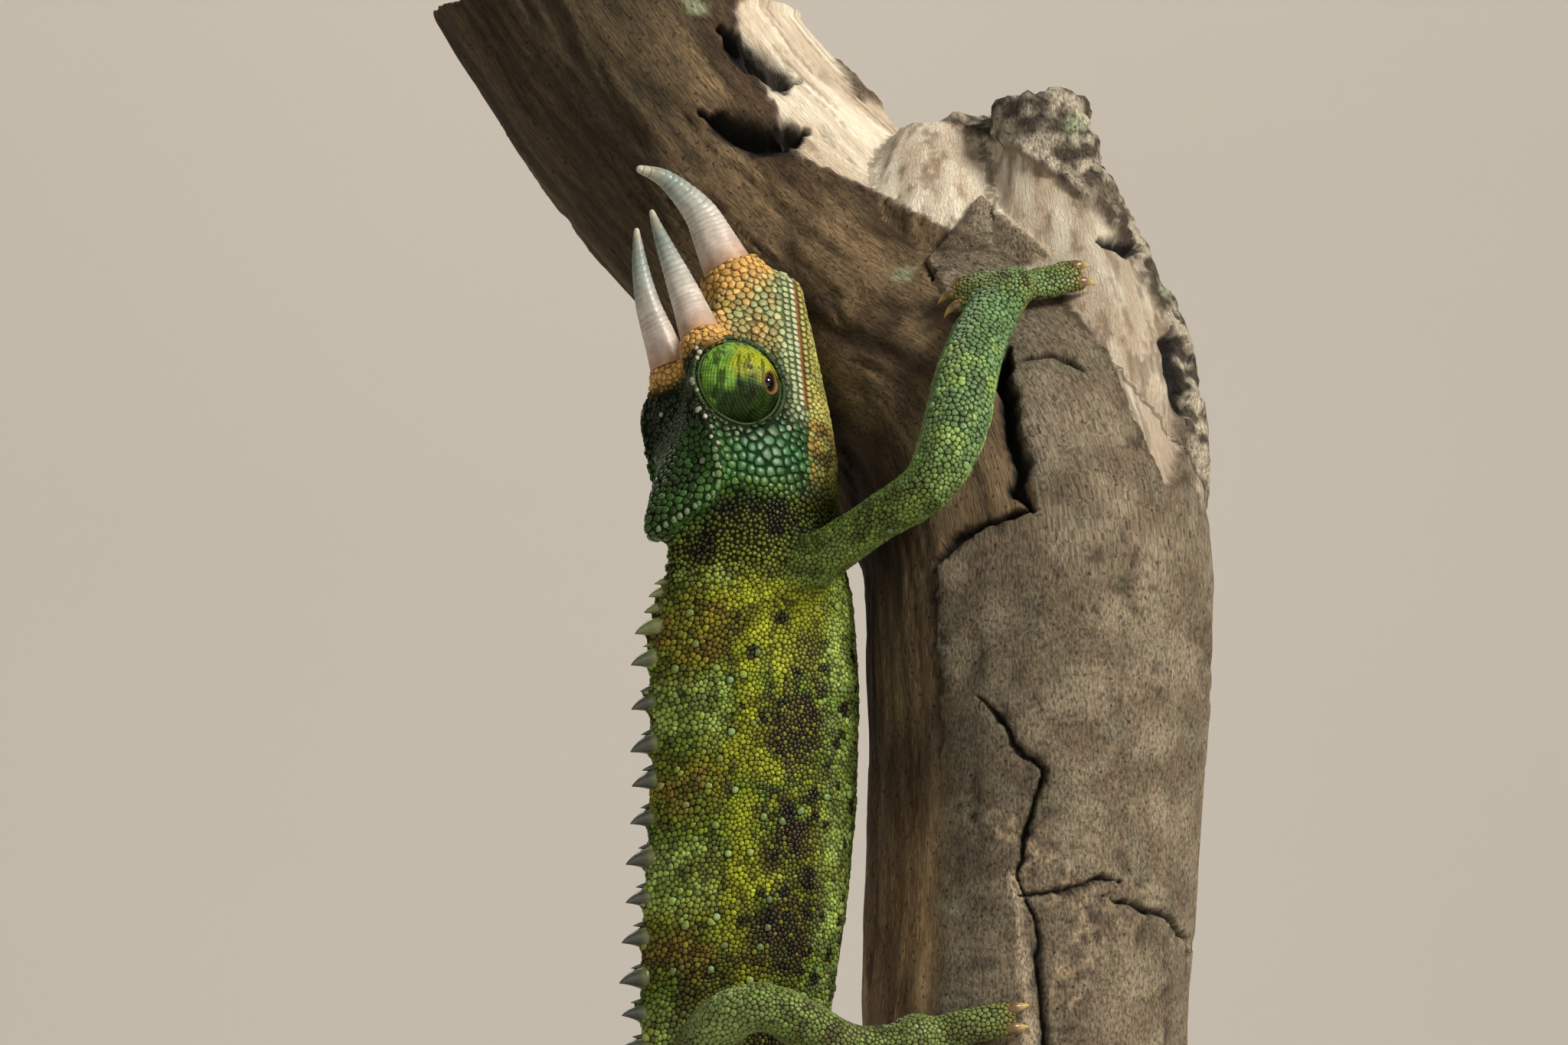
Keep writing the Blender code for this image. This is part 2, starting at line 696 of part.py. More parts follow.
# x, y, z, radius of the main limb: upright, then bending left and away
LIMB = (
    (-1.5, 0.0, -45.0, 20.4),
    (-1.6, 0.0, -20.0, 20.6),
    (-1.2, 0.0, 5.0, 20.9),
    (-0.2, 0.0, 30.0, 21.4),
    (0.0, 0.0, 50.0, 21.9),
    (-0.6, 1.2, 66.0, 22.4),
    (-4.6, 8.5, 80.0, 22.4),
    (-13.5, 20.0, 92.0, 22.0),
    (-24.0, 28.5, 103.0, 21.6),
    (-34.8, 33.0, 114.5, 21.4),
    (-44.5, 35.0, 126.0, 21.2),
    (-54.0, 36.5, 139.0, 21.0),
    (-62.0, 37.5, 152.0, 21.0),
)
# x, y, z, radius of the broken side stub
STUB = (
    (0.0, 5.0, 64.0, 20.5),
    (3.4, 7.0, 78.0, 19.2),
    (5.0, 8.0, 88.0, 16.4),
    (4.8, 8.5, 97.0, 13.4),
    (3.6, 8.6, 105.0, 11.0),
    (2.2, 8.6, 114.0, 8.2),
    (1.1, 8.6, 124.5, 6.3),
)
# x, y, z, radius of the web of wood that fills the crotch between the limb and the stub
CROTCH = (
    (-4.0, 12.0, 76.0, 19.0),
    (-7.6, 14.5, 92.0, 17.8),
    (-9.8, 16.0, 104.0, 15.2),
    (-10.8, 16.4, 115.0, 11.6),
    (-10.8, 16.4, 123.4, 6.4),
)
BRANCH_FOOT = -45.0
BRANCH_TOP = 141.5
BARK_WAVE = 0.35


def branch_rings(rows, step, sides, grow=0.0):
    """Rings along a limb, gently uneven as a weathered branch is."""
    arc, path = path_through(rows, step)
    along = unit(np.gradient(path[:, :3], axis=0))
    side = unit(np.cross(along, np.array([0.0, 1.0, 0.0])))
    up = np.cross(side, along)
    angle = np.arange(sides) * 2 * math.pi / sides
    wave = BARK_WAVE * (
        np.sin(3 * angle[None, :] + arc[:, None] / 17)
        + 0.8 * np.sin(5 * angle[None, :] - arc[:, None] / 11)
        + 0.6 * np.sin(2 * angle[None, :] + arc[:, None] / 29)
    )
    radius = path[:, 3][:, None] + wave + grow
    ring = (
        np.cos(angle)[None, :, None] * up[:, None, :] + np.sin(angle)[None, :, None] * side[:, None, :]
    )
    return path[:, None, :3] + radius[..., None] * ring


def slab(low, high):
    """A plain block between two corners."""
    (x0, y0, z0), (x1, y1, z1) = low, high
    ring = np.array([[x0, y0], [x1, y0], [x1, y1], [x0, y1]])
    return loft(np.stack([np.column_stack([ring, np.full(4, z)]) for z in (z0, z1)]))


def branch_pieces(grow=0.0, step=6.5, sides=22):
    """The main limb, the stub and the crotch, all a little larger where `grow` is given."""
    return [
        loft(branch_rings(LIMB, step, sides, grow)),
        loft(branch_rings(STUB, 5.5, 16, grow)),
        loft(branch_rings(CROTCH, 5.5, 14, grow)),
    ]


def off_branch(points, clearance):
    """Points moved straight out from, or in to, the branch until they stand `clearance` off its bark."""
    points = np.array(points, float)
    clearance = np.broadcast_to(np.asarray(clearance, float), (len(points),))
    cores = np.vstack([path_through(rows, 1.0)[1] for rows in (LIMB, STUB, CROTCH)])
    for _ in range(4):
        apart = points[:, None] - cores[None, :, :3]
        far = np.linalg.norm(apart, axis=2)
        nearest = np.argmin(far - cores[None, :, 3], axis=1)
        rows = np.arange(len(points))
        push = cores[nearest, 3] + clearance - far[rows, nearest]
        points += apart[rows, nearest] / far[rows, nearest][:, None] * push[:, None]
    return points


def make_branch():
    saw_top = slab((-160, -80, BRANCH_TOP), (80, 120, BRANCH_TOP + 60))
    node("perch_branch", "bark", branch_pieces(), [saw_top])


# The limbs

# Each limb's joints from the body outwards: x, y, z, radius.
LIMBS = {
    "arm_right": (
        (-34.0, -9.0, 58.5, 4.6),
        (-27.5, -14.5, 62.0, 3.8),
        (-20.5, -21.0, 66.0, 3.4),
        (-13.6, -25.6, 70.4, 4.0),
        (-10.9, -24.6, 76.6, 4.6),
        (-9.2, -20.2, 84.0, 4.5),
        (-7.0, -13.6, 91.0, 4.0),
        (-5.0, -10.2, 94.6, 3.7),
    ),
    "arm_left": (
        (-36.0, -3.0, 58.5, 4.6),
        (-32.5, 4.6, 62.0, 3.8),
        (-29.5, 13.5, 66.0, 3.4),
        (-27.0, 22.0, 69.6, 4.0),
        (-23.4, 28.0, 72.6, 4.5),
        (-18.0, 33.5, 77.0, 4.3),
        (-11.5, 37.6, 82.2, 3.7),
        (-8.4, 38.6, 84.4, 3.5),
    ),
    "leg_right": (
        (-43.0, -10.5, -4.0, 5.2),
        (-41.5, -17.5, 0.0, 4.4),
        (-38.6, -24.2, 3.6, 3.7),
        (-34.4, -26.8, 4.4, 3.6),
        (-29.0, -25.4, 1.8, 3.7),
        (-23.5, -22.6, -0.4, 3.3),
        (-18.6, -21.6, 0.2, 2.8),
    ),
    "leg_left": (
        (-44.0, -6.0, -5.0, 5.2),
        (-45.0, 1.0, -3.0, 4.4),
        (-44.6, 8.4, -1.4, 3.7),
        (-41.4, 12.4, -2.6, 3.6),
        (-36.4, 13.6, -6.4, 3.7),
        (-31.2, 13.4, -10.2, 3.3),
        (-26.6, 14.6, -12.4, 2.8),
    ),
}
LIMB_JOINTS = {"arm_right": 0.47, "arm_left": 0.50, "leg_right": 0.46, "leg_left": 0.46}
LIMB_NAMES = {"arm": ("upper_arm_", "forearm_", "hand_"), "leg": ("thigh_", "shin_", "foot_")}

# For each limb: the palm, then the toe bundles as (toes, tip of the middle toe, spread between tips).
GRIPS = {
    "arm_right": ((-2.6, -9.0, 97.2), ((2, (6.6, -6.0, 99.6), 2.6), (3, (-11.0, -6.6, 95.4), 2.2))),
    "arm_left": ((-4.4, 38.2, 87.0), ((2, (6.2, 34.0, 90.6), 2.6), (3, (-6.8, 40.0, 97.0), 2.2))),
    "leg_right": ((-14.6, -20.0, 1.4), ((2, (-2.6, -24.0, 3.4), 2.4), (3, (-7.4, -23.0, -9.6), 2.4))),
    "leg_left": ((-23.0, 14.6, -12.4), ((2, (-12.0, 21.0, -9.0), 2.4), (3, (-17.6, 19.0, -22.4), 2.4))),
}
TOE_RADIUS = 1.55
PALM_RADIUS = 3.2
# share of the limb from which the wrist's clearance is cut out of the hand
WRIST_START = 0.78
# a limb's half widths across and over its path, as shares of its radius
LIMB_ACROSS = 0.92
LIMB_OVER = 1.04
# places along a toe, their distance off the bark and their radius as a share of the toe's
TOE_SHARES = (0.0, 0.45, 0.8, 1.0)
TOE_LIFTS = (2.6, 2.2, 1.6, 1.1)
TOE_TAPER = (1.1, 1.05, 0.92, 0.72)
# places along the web of a bundle, their distance off the bark, share of its width, and thickness
WEB_SHARES = (0.0, 0.35, 0.7, 0.9)
WEB_LIFTS = (2.35, 2.15, 1.83, 1.4)
WEB_TAPER = (0.95, 1.0, 0.9, 0.55)
WEB_THICK = (1.9, 1.8, 1.55, 1.0)
# half width of a web: a share of the distance between its outer toes, and a margin beside them
WEB_SPREAD = 0.41
WEB_MARGIN = 1.23
WEB_SIDES = 8
CLAW_LENGTH = 1.7


def limb_frame(path):
    """Side and up directions of the rings round a limb's path."""
    along = unit(np.gradient(path[:, :3], axis=0))
    side = unit(np.cross(along, BODY_RIGHT + np.array([0.2, 0, 0.1])))
    return side, np.cross(side, along)


def limb_piece(rows, start, end, grow=0.0):
    """A length of a limb between two shares of its path, longer at its far end where it is grown."""
    arc, path = path_through(rows, 0.5)
    share = arc / arc[-1]
    side, up = limb_frame(path)
    want = np.linspace(start, end, max(3, int(round((end - start) * arc[-1] / 2.6)) + 1))
    pick = [np.column_stack([np.interp(want, share, c) for c in block.T]) for block in (path, side, up)]
    rows, side, up = pick[0], unit(pick[1]), unit(pick[2])
    if grow:
        rows[-1, :3] += unit(rows[-1, :3] - rows[-2, :3]) * grow
    radius = rows[:, 3] + grow
    wide, over = radius * LIMB_ACROSS, radius * LIMB_OVER
    return loft(rings_round(rows[:, :3], side, up, wide, over, over, LIMB_SIDES))


def toe(palm, tip, grow=0.0):
    """One toe that leaves the palm, arches a little and lies along the bark to its claw."""
    share = np.array(TOE_SHARES)
    points = np.array(palm) + share[:, None] * (np.array(tip) - np.array(palm))
    radii = TOE_RADIUS * np.array(TOE_TAPER)
    points = off_branch(points, np.array(TOE_LIFTS))
    end = points[-1] + unit(points[-1] - points[-2]) * 0.5
    points = np.vstack([points, end])
    radii = np.append(radii, 0.5)
    return cone_piece(points, radii + grow, TOE_SIDES), points


def claw(points):
    """A short hooked claw from the end of a toe down to the bark."""
    along = unit(points[-1] - points[-2])
    start = points[-1] - along * 1.0
    reach = points[-1] + along * CLAW_LENGTH
    middle = points[-1] + along * CLAW_LENGTH * 0.55
    middle = off_branch([middle], 1.3)[0]
    reach = off_branch([reach], 0.55)[0]
    return cone_piece([start, middle, reach], [0.62, 0.42, 0.1], 5)


def toe_web(palm, tip, half_wide):
    """The flesh that holds the toes of one bundle together as far as their claws."""
    share = np.array(WEB_SHARES)
    centres = off_branch(palm + share[:, None] * (tip - palm), np.array(WEB_LIFTS))
    along = unit(np.gradient(centres, axis=0))
    from_bark = centres - off_branch(centres, -6.0)
    side = unit(np.cross(along, from_bark))
    up = np.cross(side, along)
    wide = half_wide * np.array(WEB_TAPER)
    thick = np.array(WEB_THICK)
    return loft(rings_round(centres, side, up, wide, thick, thick, WEB_SIDES))


def toes_of(limb):
    """Every toe of a hand or foot with its claw, and the web of each bundle, as closed pieces."""
    palm, bundles = GRIPS[limb]
    palm = off_branch([palm], PALM_RADIUS)[0]
    pieces = []
    for count, tip, spread in bundles:
        outward = unit(np.array(tip) - palm)
        from_bark = unit(palm - off_branch([palm], -6.0)[0])
        across = unit(np.cross(outward, from_bark))
        for number in range(count):
            offset = number - (count - 1) / 2
            shorter = 1 - 0.12 * abs(offset) - 0.04 * number
            target = palm + (np.array(tip) - palm) * shorter + across * offset * spread
            start = palm + across * offset * spread * 0.45 + outward * 0.3
            piece, points = toe(start, target)
            pieces += [piece, claw(points)]
        half_wide = spread * (count - 1) * WEB_SPREAD + WEB_MARGIN
        pieces.append(toe_web(palm, np.array(tip, float), half_wide))
    return palm, pieces


def hand_piece(limb, start_row, before_row):
    """The palm and heel of a hand or foot, from the wrist's flat end to the root of the toes."""
    palm, _ = GRIPS[limb]
    palm = off_branch([palm], PALM_RADIUS)[0]
    along = unit(start_row[:3] - before_row[:3])
    first = start_row[:3] + along * GAP * 0.2
    outward = unit(palm - first)
    rows = [
        (*first, start_row[3]),
        (*(first * 0.6 + palm * 0.4 + along * 0.5), PALM_RADIUS + 0.2),
        (*palm, PALM_RADIUS),
        (*(palm + outward * 2.0), 1.5),
    ]
    _, path = path_through(rows, 1.5)
    side, up = limb_frame(np.vstack([first - along, path[:, :3]]))
    radius = path[:, 3]
    side, up = side[1:], up[1:]
    side[0] = unit(np.cross(along, BODY_RIGHT + np.array([0.2, 0, 0.1])))
    up[0] = np.cross(side[0], along)
    wide, over = radius * LIMB_ACROSS, radius * LIMB_OVER
    return loft(rings_round(path[:, :3], side, up, wide, over, over, LIMB_SIDES))


def make_limbs():
    for limb, rows in LIMBS.items():
        kind, side = limb.split("_")
        upper, lower, tip = LIMB_NAMES[kind]
        arc, path = path_through(rows, 0.5)
        half_gap = GAP / 2 / arc[-1]
        joint = LIMB_JOINTS[limb]
        body = [body_loft(0.5, HIPS_END + 6, GAP)]
        if kind == "arm":
            body.append(head_loft(GAP))
        root = limb_piece(rows, 0.0, joint - half_gap)
        node(upper + side, "skin_green", [root], body + branch_pieces(GAP))
        node(lower + side, "skin_green", [limb_piece(rows, joint + half_gap, 1.0)], branch_pieces(GAP))
        _, toes = toes_of(limb)
        palm = hand_piece(limb, path[-1], path[-2])
        wrist = limb_piece(rows, WRIST_START, 1.0, GAP)
        node(tip + side, "skin_green", [palm] + toes, branch_pieces(GAP) + [wrist])


# The stand

BASE_SIZE = (124.0, 100.0, 10.0)
BASE_CORNER = 14.0
BASE_BEVEL = 1.6
ROD_RADIUS = 6.0
ROD_AT = (-1.5, 0.0)


def make_stand():
    """A flat rounded plinth and one steel rod up to the branch's sawn foot."""
    half_x, half_y, thick = BASE_SIZE[0] / 2, BASE_SIZE[1] / 2, BASE_SIZE[2]
    corner = np.linspace(0, math.pi / 2, 6)
    outline = []
    for turn, (sx, sy) in enumerate(((1, 1), (-1, 1), (-1, -1), (1, -1))):
        angle = corner + turn * math.pi / 2
        outline.append(
            np.column_stack(
                [
                    sx * (half_x - BASE_CORNER) + BASE_CORNER * np.cos(angle),
                    sy * (half_y - BASE_CORNER) + BASE_CORNER * np.sin(angle),
                ]
            )
        )
    outline = np.vstack(outline)
    inner = outline * (1 - BASE_BEVEL / np.array([half_x, half_y]))
    levels = ((outline, 0.0), (outline, thick - BASE_BEVEL), (inner, thick))
    rings = np.stack([np.column_stack([ring, np.full(len(ring), z)]) for ring, z in levels])
    node("stand_base", "base_wood", [loft(rings - ORIGIN)])
    low = thick - ORIGIN[2] + GAP
    heights = np.linspace(low, BRANCH_FOOT - GAP, 3)
    centres = np.column_stack([np.tile(ROD_AT, (3, 1)), heights])
    node("stand_rod", "rod_steel", [cone_piece(centres, [ROD_RADIUS] * 3, 24)])


def clear_scene():
    for old in list(bpy.data.objects):
        bpy.data.objects.remove(old)


def main():
    clear_scene()
    make_head()
    make_body()
    make_branch()
    make_limbs()
    make_stand()


main()
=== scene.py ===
# %% [markdown]
# # A three-horned chameleon, life size, on a cut length of branch
#
# A museum makes such a model in layers: a body, a skin over it, thousands of beads of scale on
# the skin, and glass eyes and real-looking horns set in last. This file works the same way. The
# imported solids give the body and every place, so the first cell loads them.

# %% The imported solids
import math

import bmesh
import bpy
import numpy as np
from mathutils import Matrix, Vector
from mathutils.bvhtree import BVHTree
from mathutils.kdtree import KDTree


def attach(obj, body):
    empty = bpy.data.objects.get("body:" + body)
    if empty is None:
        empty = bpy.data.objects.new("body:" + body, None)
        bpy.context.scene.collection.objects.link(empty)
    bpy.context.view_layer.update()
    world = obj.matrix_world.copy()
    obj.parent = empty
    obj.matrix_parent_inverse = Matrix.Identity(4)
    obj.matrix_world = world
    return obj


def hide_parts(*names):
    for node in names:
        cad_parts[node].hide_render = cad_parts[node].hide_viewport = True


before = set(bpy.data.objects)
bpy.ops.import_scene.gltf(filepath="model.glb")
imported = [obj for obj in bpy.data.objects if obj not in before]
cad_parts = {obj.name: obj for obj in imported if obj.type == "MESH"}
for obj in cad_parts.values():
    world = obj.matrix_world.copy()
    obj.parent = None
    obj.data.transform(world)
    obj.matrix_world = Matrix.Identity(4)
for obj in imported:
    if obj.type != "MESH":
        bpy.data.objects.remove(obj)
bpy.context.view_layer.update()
dice = np.random.default_rng(7)

# %% [markdown]
# ## Working in millimetres
#
# A chameleon's beads are half a millimetre wide, so shapes here are worked out in millimetres in
# the branch's frame, with x to the right and y away from the viewer from the trunk's axis, and z
# up from the hind feet. One helper turns whole arrays into metres when a mesh is made.

# %% Units, small curves and noise
MM = 0.001
ORIGIN = np.array([20.0, -8.0, 73.0])


def in_metres(points):
    return (np.asarray(points, float) + ORIGIN) * MM


def in_millimetres(points):
    return np.asarray(points, float) / MM - ORIGIN


def unit(vectors):
    vectors = np.asarray(vectors, float)
    return vectors / np.maximum(np.linalg.norm(vectors, axis=-1, keepdims=True), 1e-9)


def ease(low, high, x):
    """0 below low, 1 above high, and a smooth cubic between; the two may be given either way round."""
    t = np.clip((np.asarray(x, float) - low) / (high - low), 0, 1)
    return t * t * (3 - 2 * t)


def hill(x, centre, width):
    """A bell: 1 at the centre, falling off as exp(-(distance / width) squared)."""
    return np.exp(-(((np.asarray(x, float) - centre) / width) ** 2))


def mix(first, second, share):
    share = np.asarray(share, float)[..., None]
    return first * (1 - share) + second * share


def smooth_keys(keys, at):
    """Cubic Hermite values at `at` through rows of (place, value, ...), with central slopes."""
    keys = np.asarray(keys, float)
    place, value = keys[:, 0], keys[:, 1:]
    slope = np.gradient(value, place, axis=0)
    at = np.clip(np.atleast_1d(np.asarray(at, float)), place[0], place[-1])
    i = np.clip(np.searchsorted(place, at, side="right") - 1, 0, len(place) - 2)
    span = (place[i + 1] - place[i])[:, None]
    u = (at - place[i])[:, None] / span
    return (
        (2 * u**3 - 3 * u**2 + 1) * value[i]
        + (u**3 - 2 * u**2 + u) * span * slope[i]
        + (3 * u**2 - 2 * u**3) * value[i + 1]
        + (u**3 - u**2) * span * slope[i + 1]
    )


def run_lengths(points):
    """How far along a broken line each of its points is."""
    return np.concatenate([[0], np.cumsum(np.linalg.norm(np.diff(points, axis=0), axis=1))])


def columns_at(at, place, rows):
    """Each column of the rows, which are known at `place`, read off between them at `at`."""
    return np.column_stack([np.interp(at, place, column) for column in rows.T])


def path_through(rows, step):
    """Distances and rows at even steps along a smooth path through rows of x, y, z and sizes."""
    rows = np.asarray(rows, float)
    keys = np.column_stack([run_lengths(rows[:, :3]), rows])
    fine = smooth_keys(keys, np.linspace(0, keys[-1, 0], 400))
    arc = run_lengths(fine[:, :3])
    even = np.linspace(0, arc[-1], max(3, int(round(arc[-1] / step)) + 1))
    return even, columns_at(even, arc, fine)


def angles_of(count):
    """Evenly spaced angles, the first at 0."""
    return np.arange(count) * 2 * math.pi / count


def cell_draw(cells, seed):
    """A repeatable number from 0 to 1 for each whole-number cell."""
    n = cells[..., 0] * 73856093 ^ cells[..., 1] * 19349663 ^ cells[..., 2] * 83492791
    n = (n ^ (seed * 374761393)) & 0xFFFFFFFF
    n = ((n ^ (n >> 13)) * 1274126177) & 0xFFFFFFFF
    n = ((n ^ (n >> 15)) * 2246822519) & 0xFFFFFFFF
    return (n ^ (n >> 16)) / 4294967295.0


def clouds(points, size, seed, octaves=3):
    """Value noise from 0 to 1: draws at the corners of a grid of this size, smoothly mixed between,
    with each next layer half as large and half as strong."""
    total, weight = 0.0, 0.0
    for octave in range(octaves):
        p = np.asarray(points, float) * 2**octave / size + seed * 7.31
        base = np.floor(p).astype(np.int64)
        f = p - base
        f = f * f * (3 - 2 * f)
        layer = 0.0
        for corner in np.ndindex(2, 2, 2):
            share = np.prod(np.where(corner, f, 1 - f), axis=-1)
            layer = layer + share * cell_draw(base + corner, seed + octave)
        total = total + layer * 0.5**octave
        weight += 0.5**octave
    return total / weight


def dots(points, pitch, seed):
    """Distance in mm to the nearest of one scattered centre per cell, and that centre's own draw."""
    p = np.asarray(points, float) / pitch
    base = np.floor(p).astype(np.int64)
    best = np.full(len(p), 9.0)
    draw = np.zeros(len(p))
    for step in np.ndindex(3, 3, 3):
        cell = base + np.array(step) - 1
        centre = cell + np.stack([cell_draw(cell, seed + k) for k in (1, 2, 3)], -1)
        far = np.linalg.norm(p - centre, axis=-1)
        nearer = far < best
        best = np.where(nearer, far, best)
        draw = np.where(nearer, cell_draw(cell, seed + 4), draw)
    return best * pitch, draw


def paint(red, green, blue):
    """Linear light from the 0 to 255 numbers that a screen shows."""
    c = np.array([red, green, blue]) / 255.0
    return np.where(c <= 0.04045, c / 12.92, ((c + 0.055) / 1.055) ** 2.4)


print("noise mean", round(float(clouds(dice.uniform(0, 90, (5000, 3)), 4, 1).mean()), 3))

# %% [markdown]
# ## Camera, light and a pale studio
#
# The photographer stood a little below the animal and used a long lens, so the camera looks up by
# 7 degrees through 171 mm. The light there was soft and high on the right, which a large area
# lamp gives; a weaker lamp and a bright sky fill the shade so that every scale still reads.


# %% Camera and lamps
def placed(name, data):
    """A new object of this name in the scene."""
    made = bpy.data.objects.new(name, data)
    bpy.context.scene.collection.objects.link(made)
    return made


LOOK_UP = math.radians(7)
CAMERA_AWAY = 0.95
AIM = Vector(in_metres([-32.2, -8.0, 67.2]))
camera = placed("camera", bpy.data.cameras.new("camera"))
bpy.context.scene.camera = camera
view_line = Vector((0, math.cos(LOOK_UP), math.sin(LOOK_UP)))
camera.location = AIM - view_line * CAMERA_AWAY
camera.rotation_euler = view_line.to_track_quat("-Z", "Y").to_euler()
camera.data.sensor_width = 36
camera.data.lens = 171
camera.data.clip_start = 0.01

# name: place in metres, width in metres, watts, colour
LAMPS = {
    "key_lamp": ((0.66, -0.52, 0.68), 0.24, 15.0, (1.0, 0.95, 0.88)),
    "fill_lamp": ((-0.45, -1.00, 0.35), 0.60, 2.2, (1.0, 0.98, 0.94)),
    "rim_lamp": ((-0.25, 0.55, 0.75), 0.40, 3.0, (1.0, 0.97, 0.93)),
    "wall_lamp": ((0.0, 0.9, 1.7), 1.20, 22.0, (1.0, 0.97, 0.93)),
}
WALL_SPOT = Vector((0.0, 2.4, 0.5))
for name, (place, width, watts, colour) in LAMPS.items():
    lamp = bpy.data.lights.new(name, "AREA")
    lamp.size, lamp.energy, lamp.color = width, watts, colour
    holder = placed(name, lamp)
    holder.location = place
    aimed_at = WALL_SPOT if name == "wall_lamp" else AIM
    holder.rotation_euler = (aimed_at - Vector(place)).to_track_quat("-Z", "Y").to_euler()

sky = bpy.data.worlds.new("soft_sky")
bpy.context.scene.world = sky
sky.use_nodes = True
sky_light = sky.node_tree.nodes["Background"]
sky_light.inputs["Color"].default_value = (0.92, 0.90, 0.86, 1)
sky_light.inputs["Strength"].default_value = 0.16
bpy.context.scene.view_settings.view_transform = "Standard"
print("camera height above the floor, mm:", round(camera.location.z / MM, 1))

# %% [markdown]
# ## Making a mesh from arrays
#
# Every piece below is an array of points and an array of triangles. The helper writes both in one
# go, carries colours as a point attribute so that a material can read the animal's markings, and
# hands the piece to the frame. A tube is rings of points carried along a path; its ends close in a
# fan round their middle. Its signed volume tells whether it is inside out. The backdrop is a plain
# sheet of floor and wall.


# %% Arrays into pieces, and the backdrop
def facing_out(points, triangles):
    """The triangles, turned round if the volume they enclose comes out negative."""
    a, b, c = (points[triangles[:, k]] for k in range(3))
    volume = np.einsum("ij,ij->i", a, np.cross(b, c)).sum()
    return triangles if volume > 0 else triangles[:, ::-1]


def tube(rings):
    """A closed tube over rings of shape (rows, sides, 3)."""
    rows, sides = rings.shape[:2]
    index = np.arange(rows * sides).reshape(rows, sides)
    ahead = np.roll(index, -1, axis=1)
    a, b, c, d = index[:-1], ahead[:-1], ahead[1:], index[1:]
    first, last = np.full(sides, rows * sides), np.full(sides, rows * sides + 1)
    corners = ((a, b, c), (a, c, d), (ahead[0], index[0], first), (index[-1], ahead[-1], last))
    triangles = np.concatenate([np.stack(three, -1).reshape(-1, 3) for three in corners])
    points = np.concatenate([rings.reshape(-1, 3), [rings[0].mean(0)], [rings[-1].mean(0)]])
    return points, facing_out(points, triangles)


def end_values(values):
    """A value for each point of a tube, from one for each ring point, with the two fan centres."""
    rows, sides = values.shape[:2]
    flat = values.reshape(rows * sides, *values.shape[2:])
    return np.concatenate([flat, values[0].mean(0)[None], values[-1].mean(0)[None]])


def piece(name, points, triangles, material, slot, replaced=(), colours=None, coat_map=None, extra=None):
    """A finished piece in the row frame: its mesh, its markings, its body and what it stands for."""
    mesh = bpy.data.meshes.new(name)
    mesh.vertices.add(len(points))
    mesh.vertices.foreach_set("co", in_metres(points).astype(np.float32).ravel())
    mesh.loops.add(triangles.size)
    mesh.loops.foreach_set("vertex_index", triangles.astype(np.int32).ravel())
    mesh.polygons.add(len(triangles))
    starts = np.arange(0, triangles.size, triangles.shape[1], dtype=np.int32)
    mesh.polygons.foreach_set("loop_start", starts)
    mesh.update(calc_edges=True)
    if colours is not None:
        rgba = np.column_stack([np.clip(colours, 0, 1), np.ones(len(points))]).astype(np.float32)
        mesh.attributes.new("marking", "FLOAT_COLOR", "POINT").data.foreach_set("color", rgba.ravel())
    for key, values in (extra or {}).items():
        kind, field = ("FLOAT", "value") if values.ndim == 1 else ("FLOAT_VECTOR", "vector")
        layer = mesh.attributes.new(key, kind, "POINT")
        layer.data.foreach_set(field, values.astype(np.float32).ravel())
    if coat_map is not None:
        layer = mesh.uv_layers.new(name="OFBake")
        layer.data.foreach_set("uv", coat_map[triangles.ravel()].astype(np.float32).ravel())
    mesh.shade_smooth()
    mesh.materials.append(material)
    made = placed(name, mesh)
    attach(made, "root")
    if replaced:
        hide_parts(*replaced)
    print(name, len(triangles), "faces")


def rings_along(centres, side, up, radii):
    """Round rings: each centre plus radius times (cos angle up + sin angle side)."""
    angle = angles_of(radii.shape[1])
    out = np.cos(angle)[None, :, None] * up[:, None] + np.sin(angle)[None, :, None] * side[:, None]
    return centres[:, None] + radii[..., None] * out


def frames_along(centres, hint):
    """Directions across a path: along x hint, and the one square to both."""
    along = unit(np.gradient(centres, axis=0))
    side = unit(np.cross(along, hint))
    return side, np.cross(side, along), along


# The backdrop, in metres: a floor that curves up into a wall, far enough off to stay soft.
STUDIO_SIDE, WALL_AWAY, WALL_HEIGHT, WALL_BEND = 2.6, 2.4, 3.0, 0.6
turn = np.linspace(0, math.pi / 2, 12)
bend = np.column_stack([WALL_AWAY - WALL_BEND * (1 - np.sin(turn)), WALL_BEND * (1 - np.cos(turn))])
profile = np.concatenate([[[-STUDIO_SIDE, 0.0]], bend, [[WALL_AWAY, WALL_HEIGHT]]])
backdrop_points = [[x, y, z] for y, z in profile for x in (-STUDIO_SIDE, STUDIO_SIDE)]
backdrop_faces = np.arange(len(profile) - 1)[:, None] * 2 + np.array([[0, 1, 3, 2]])
backdrop_mesh = bpy.data.meshes.new("backdrop")
backdrop_mesh.from_pydata(backdrop_points, [], backdrop_faces.tolist())
backdrop_mesh.shade_smooth()
backdrop = placed("backdrop", backdrop_mesh)

# %% [markdown]
# ## The animal's own directions
#
# Markings follow the animal and not the room, so the head, the back bone and each limb get their
# own measures: how far forward, how far towards the crown, how far along the back. The branch's
# limbs and the ends of the toes that grip it are worked out here too. These are the same named
# values that shape the solids.

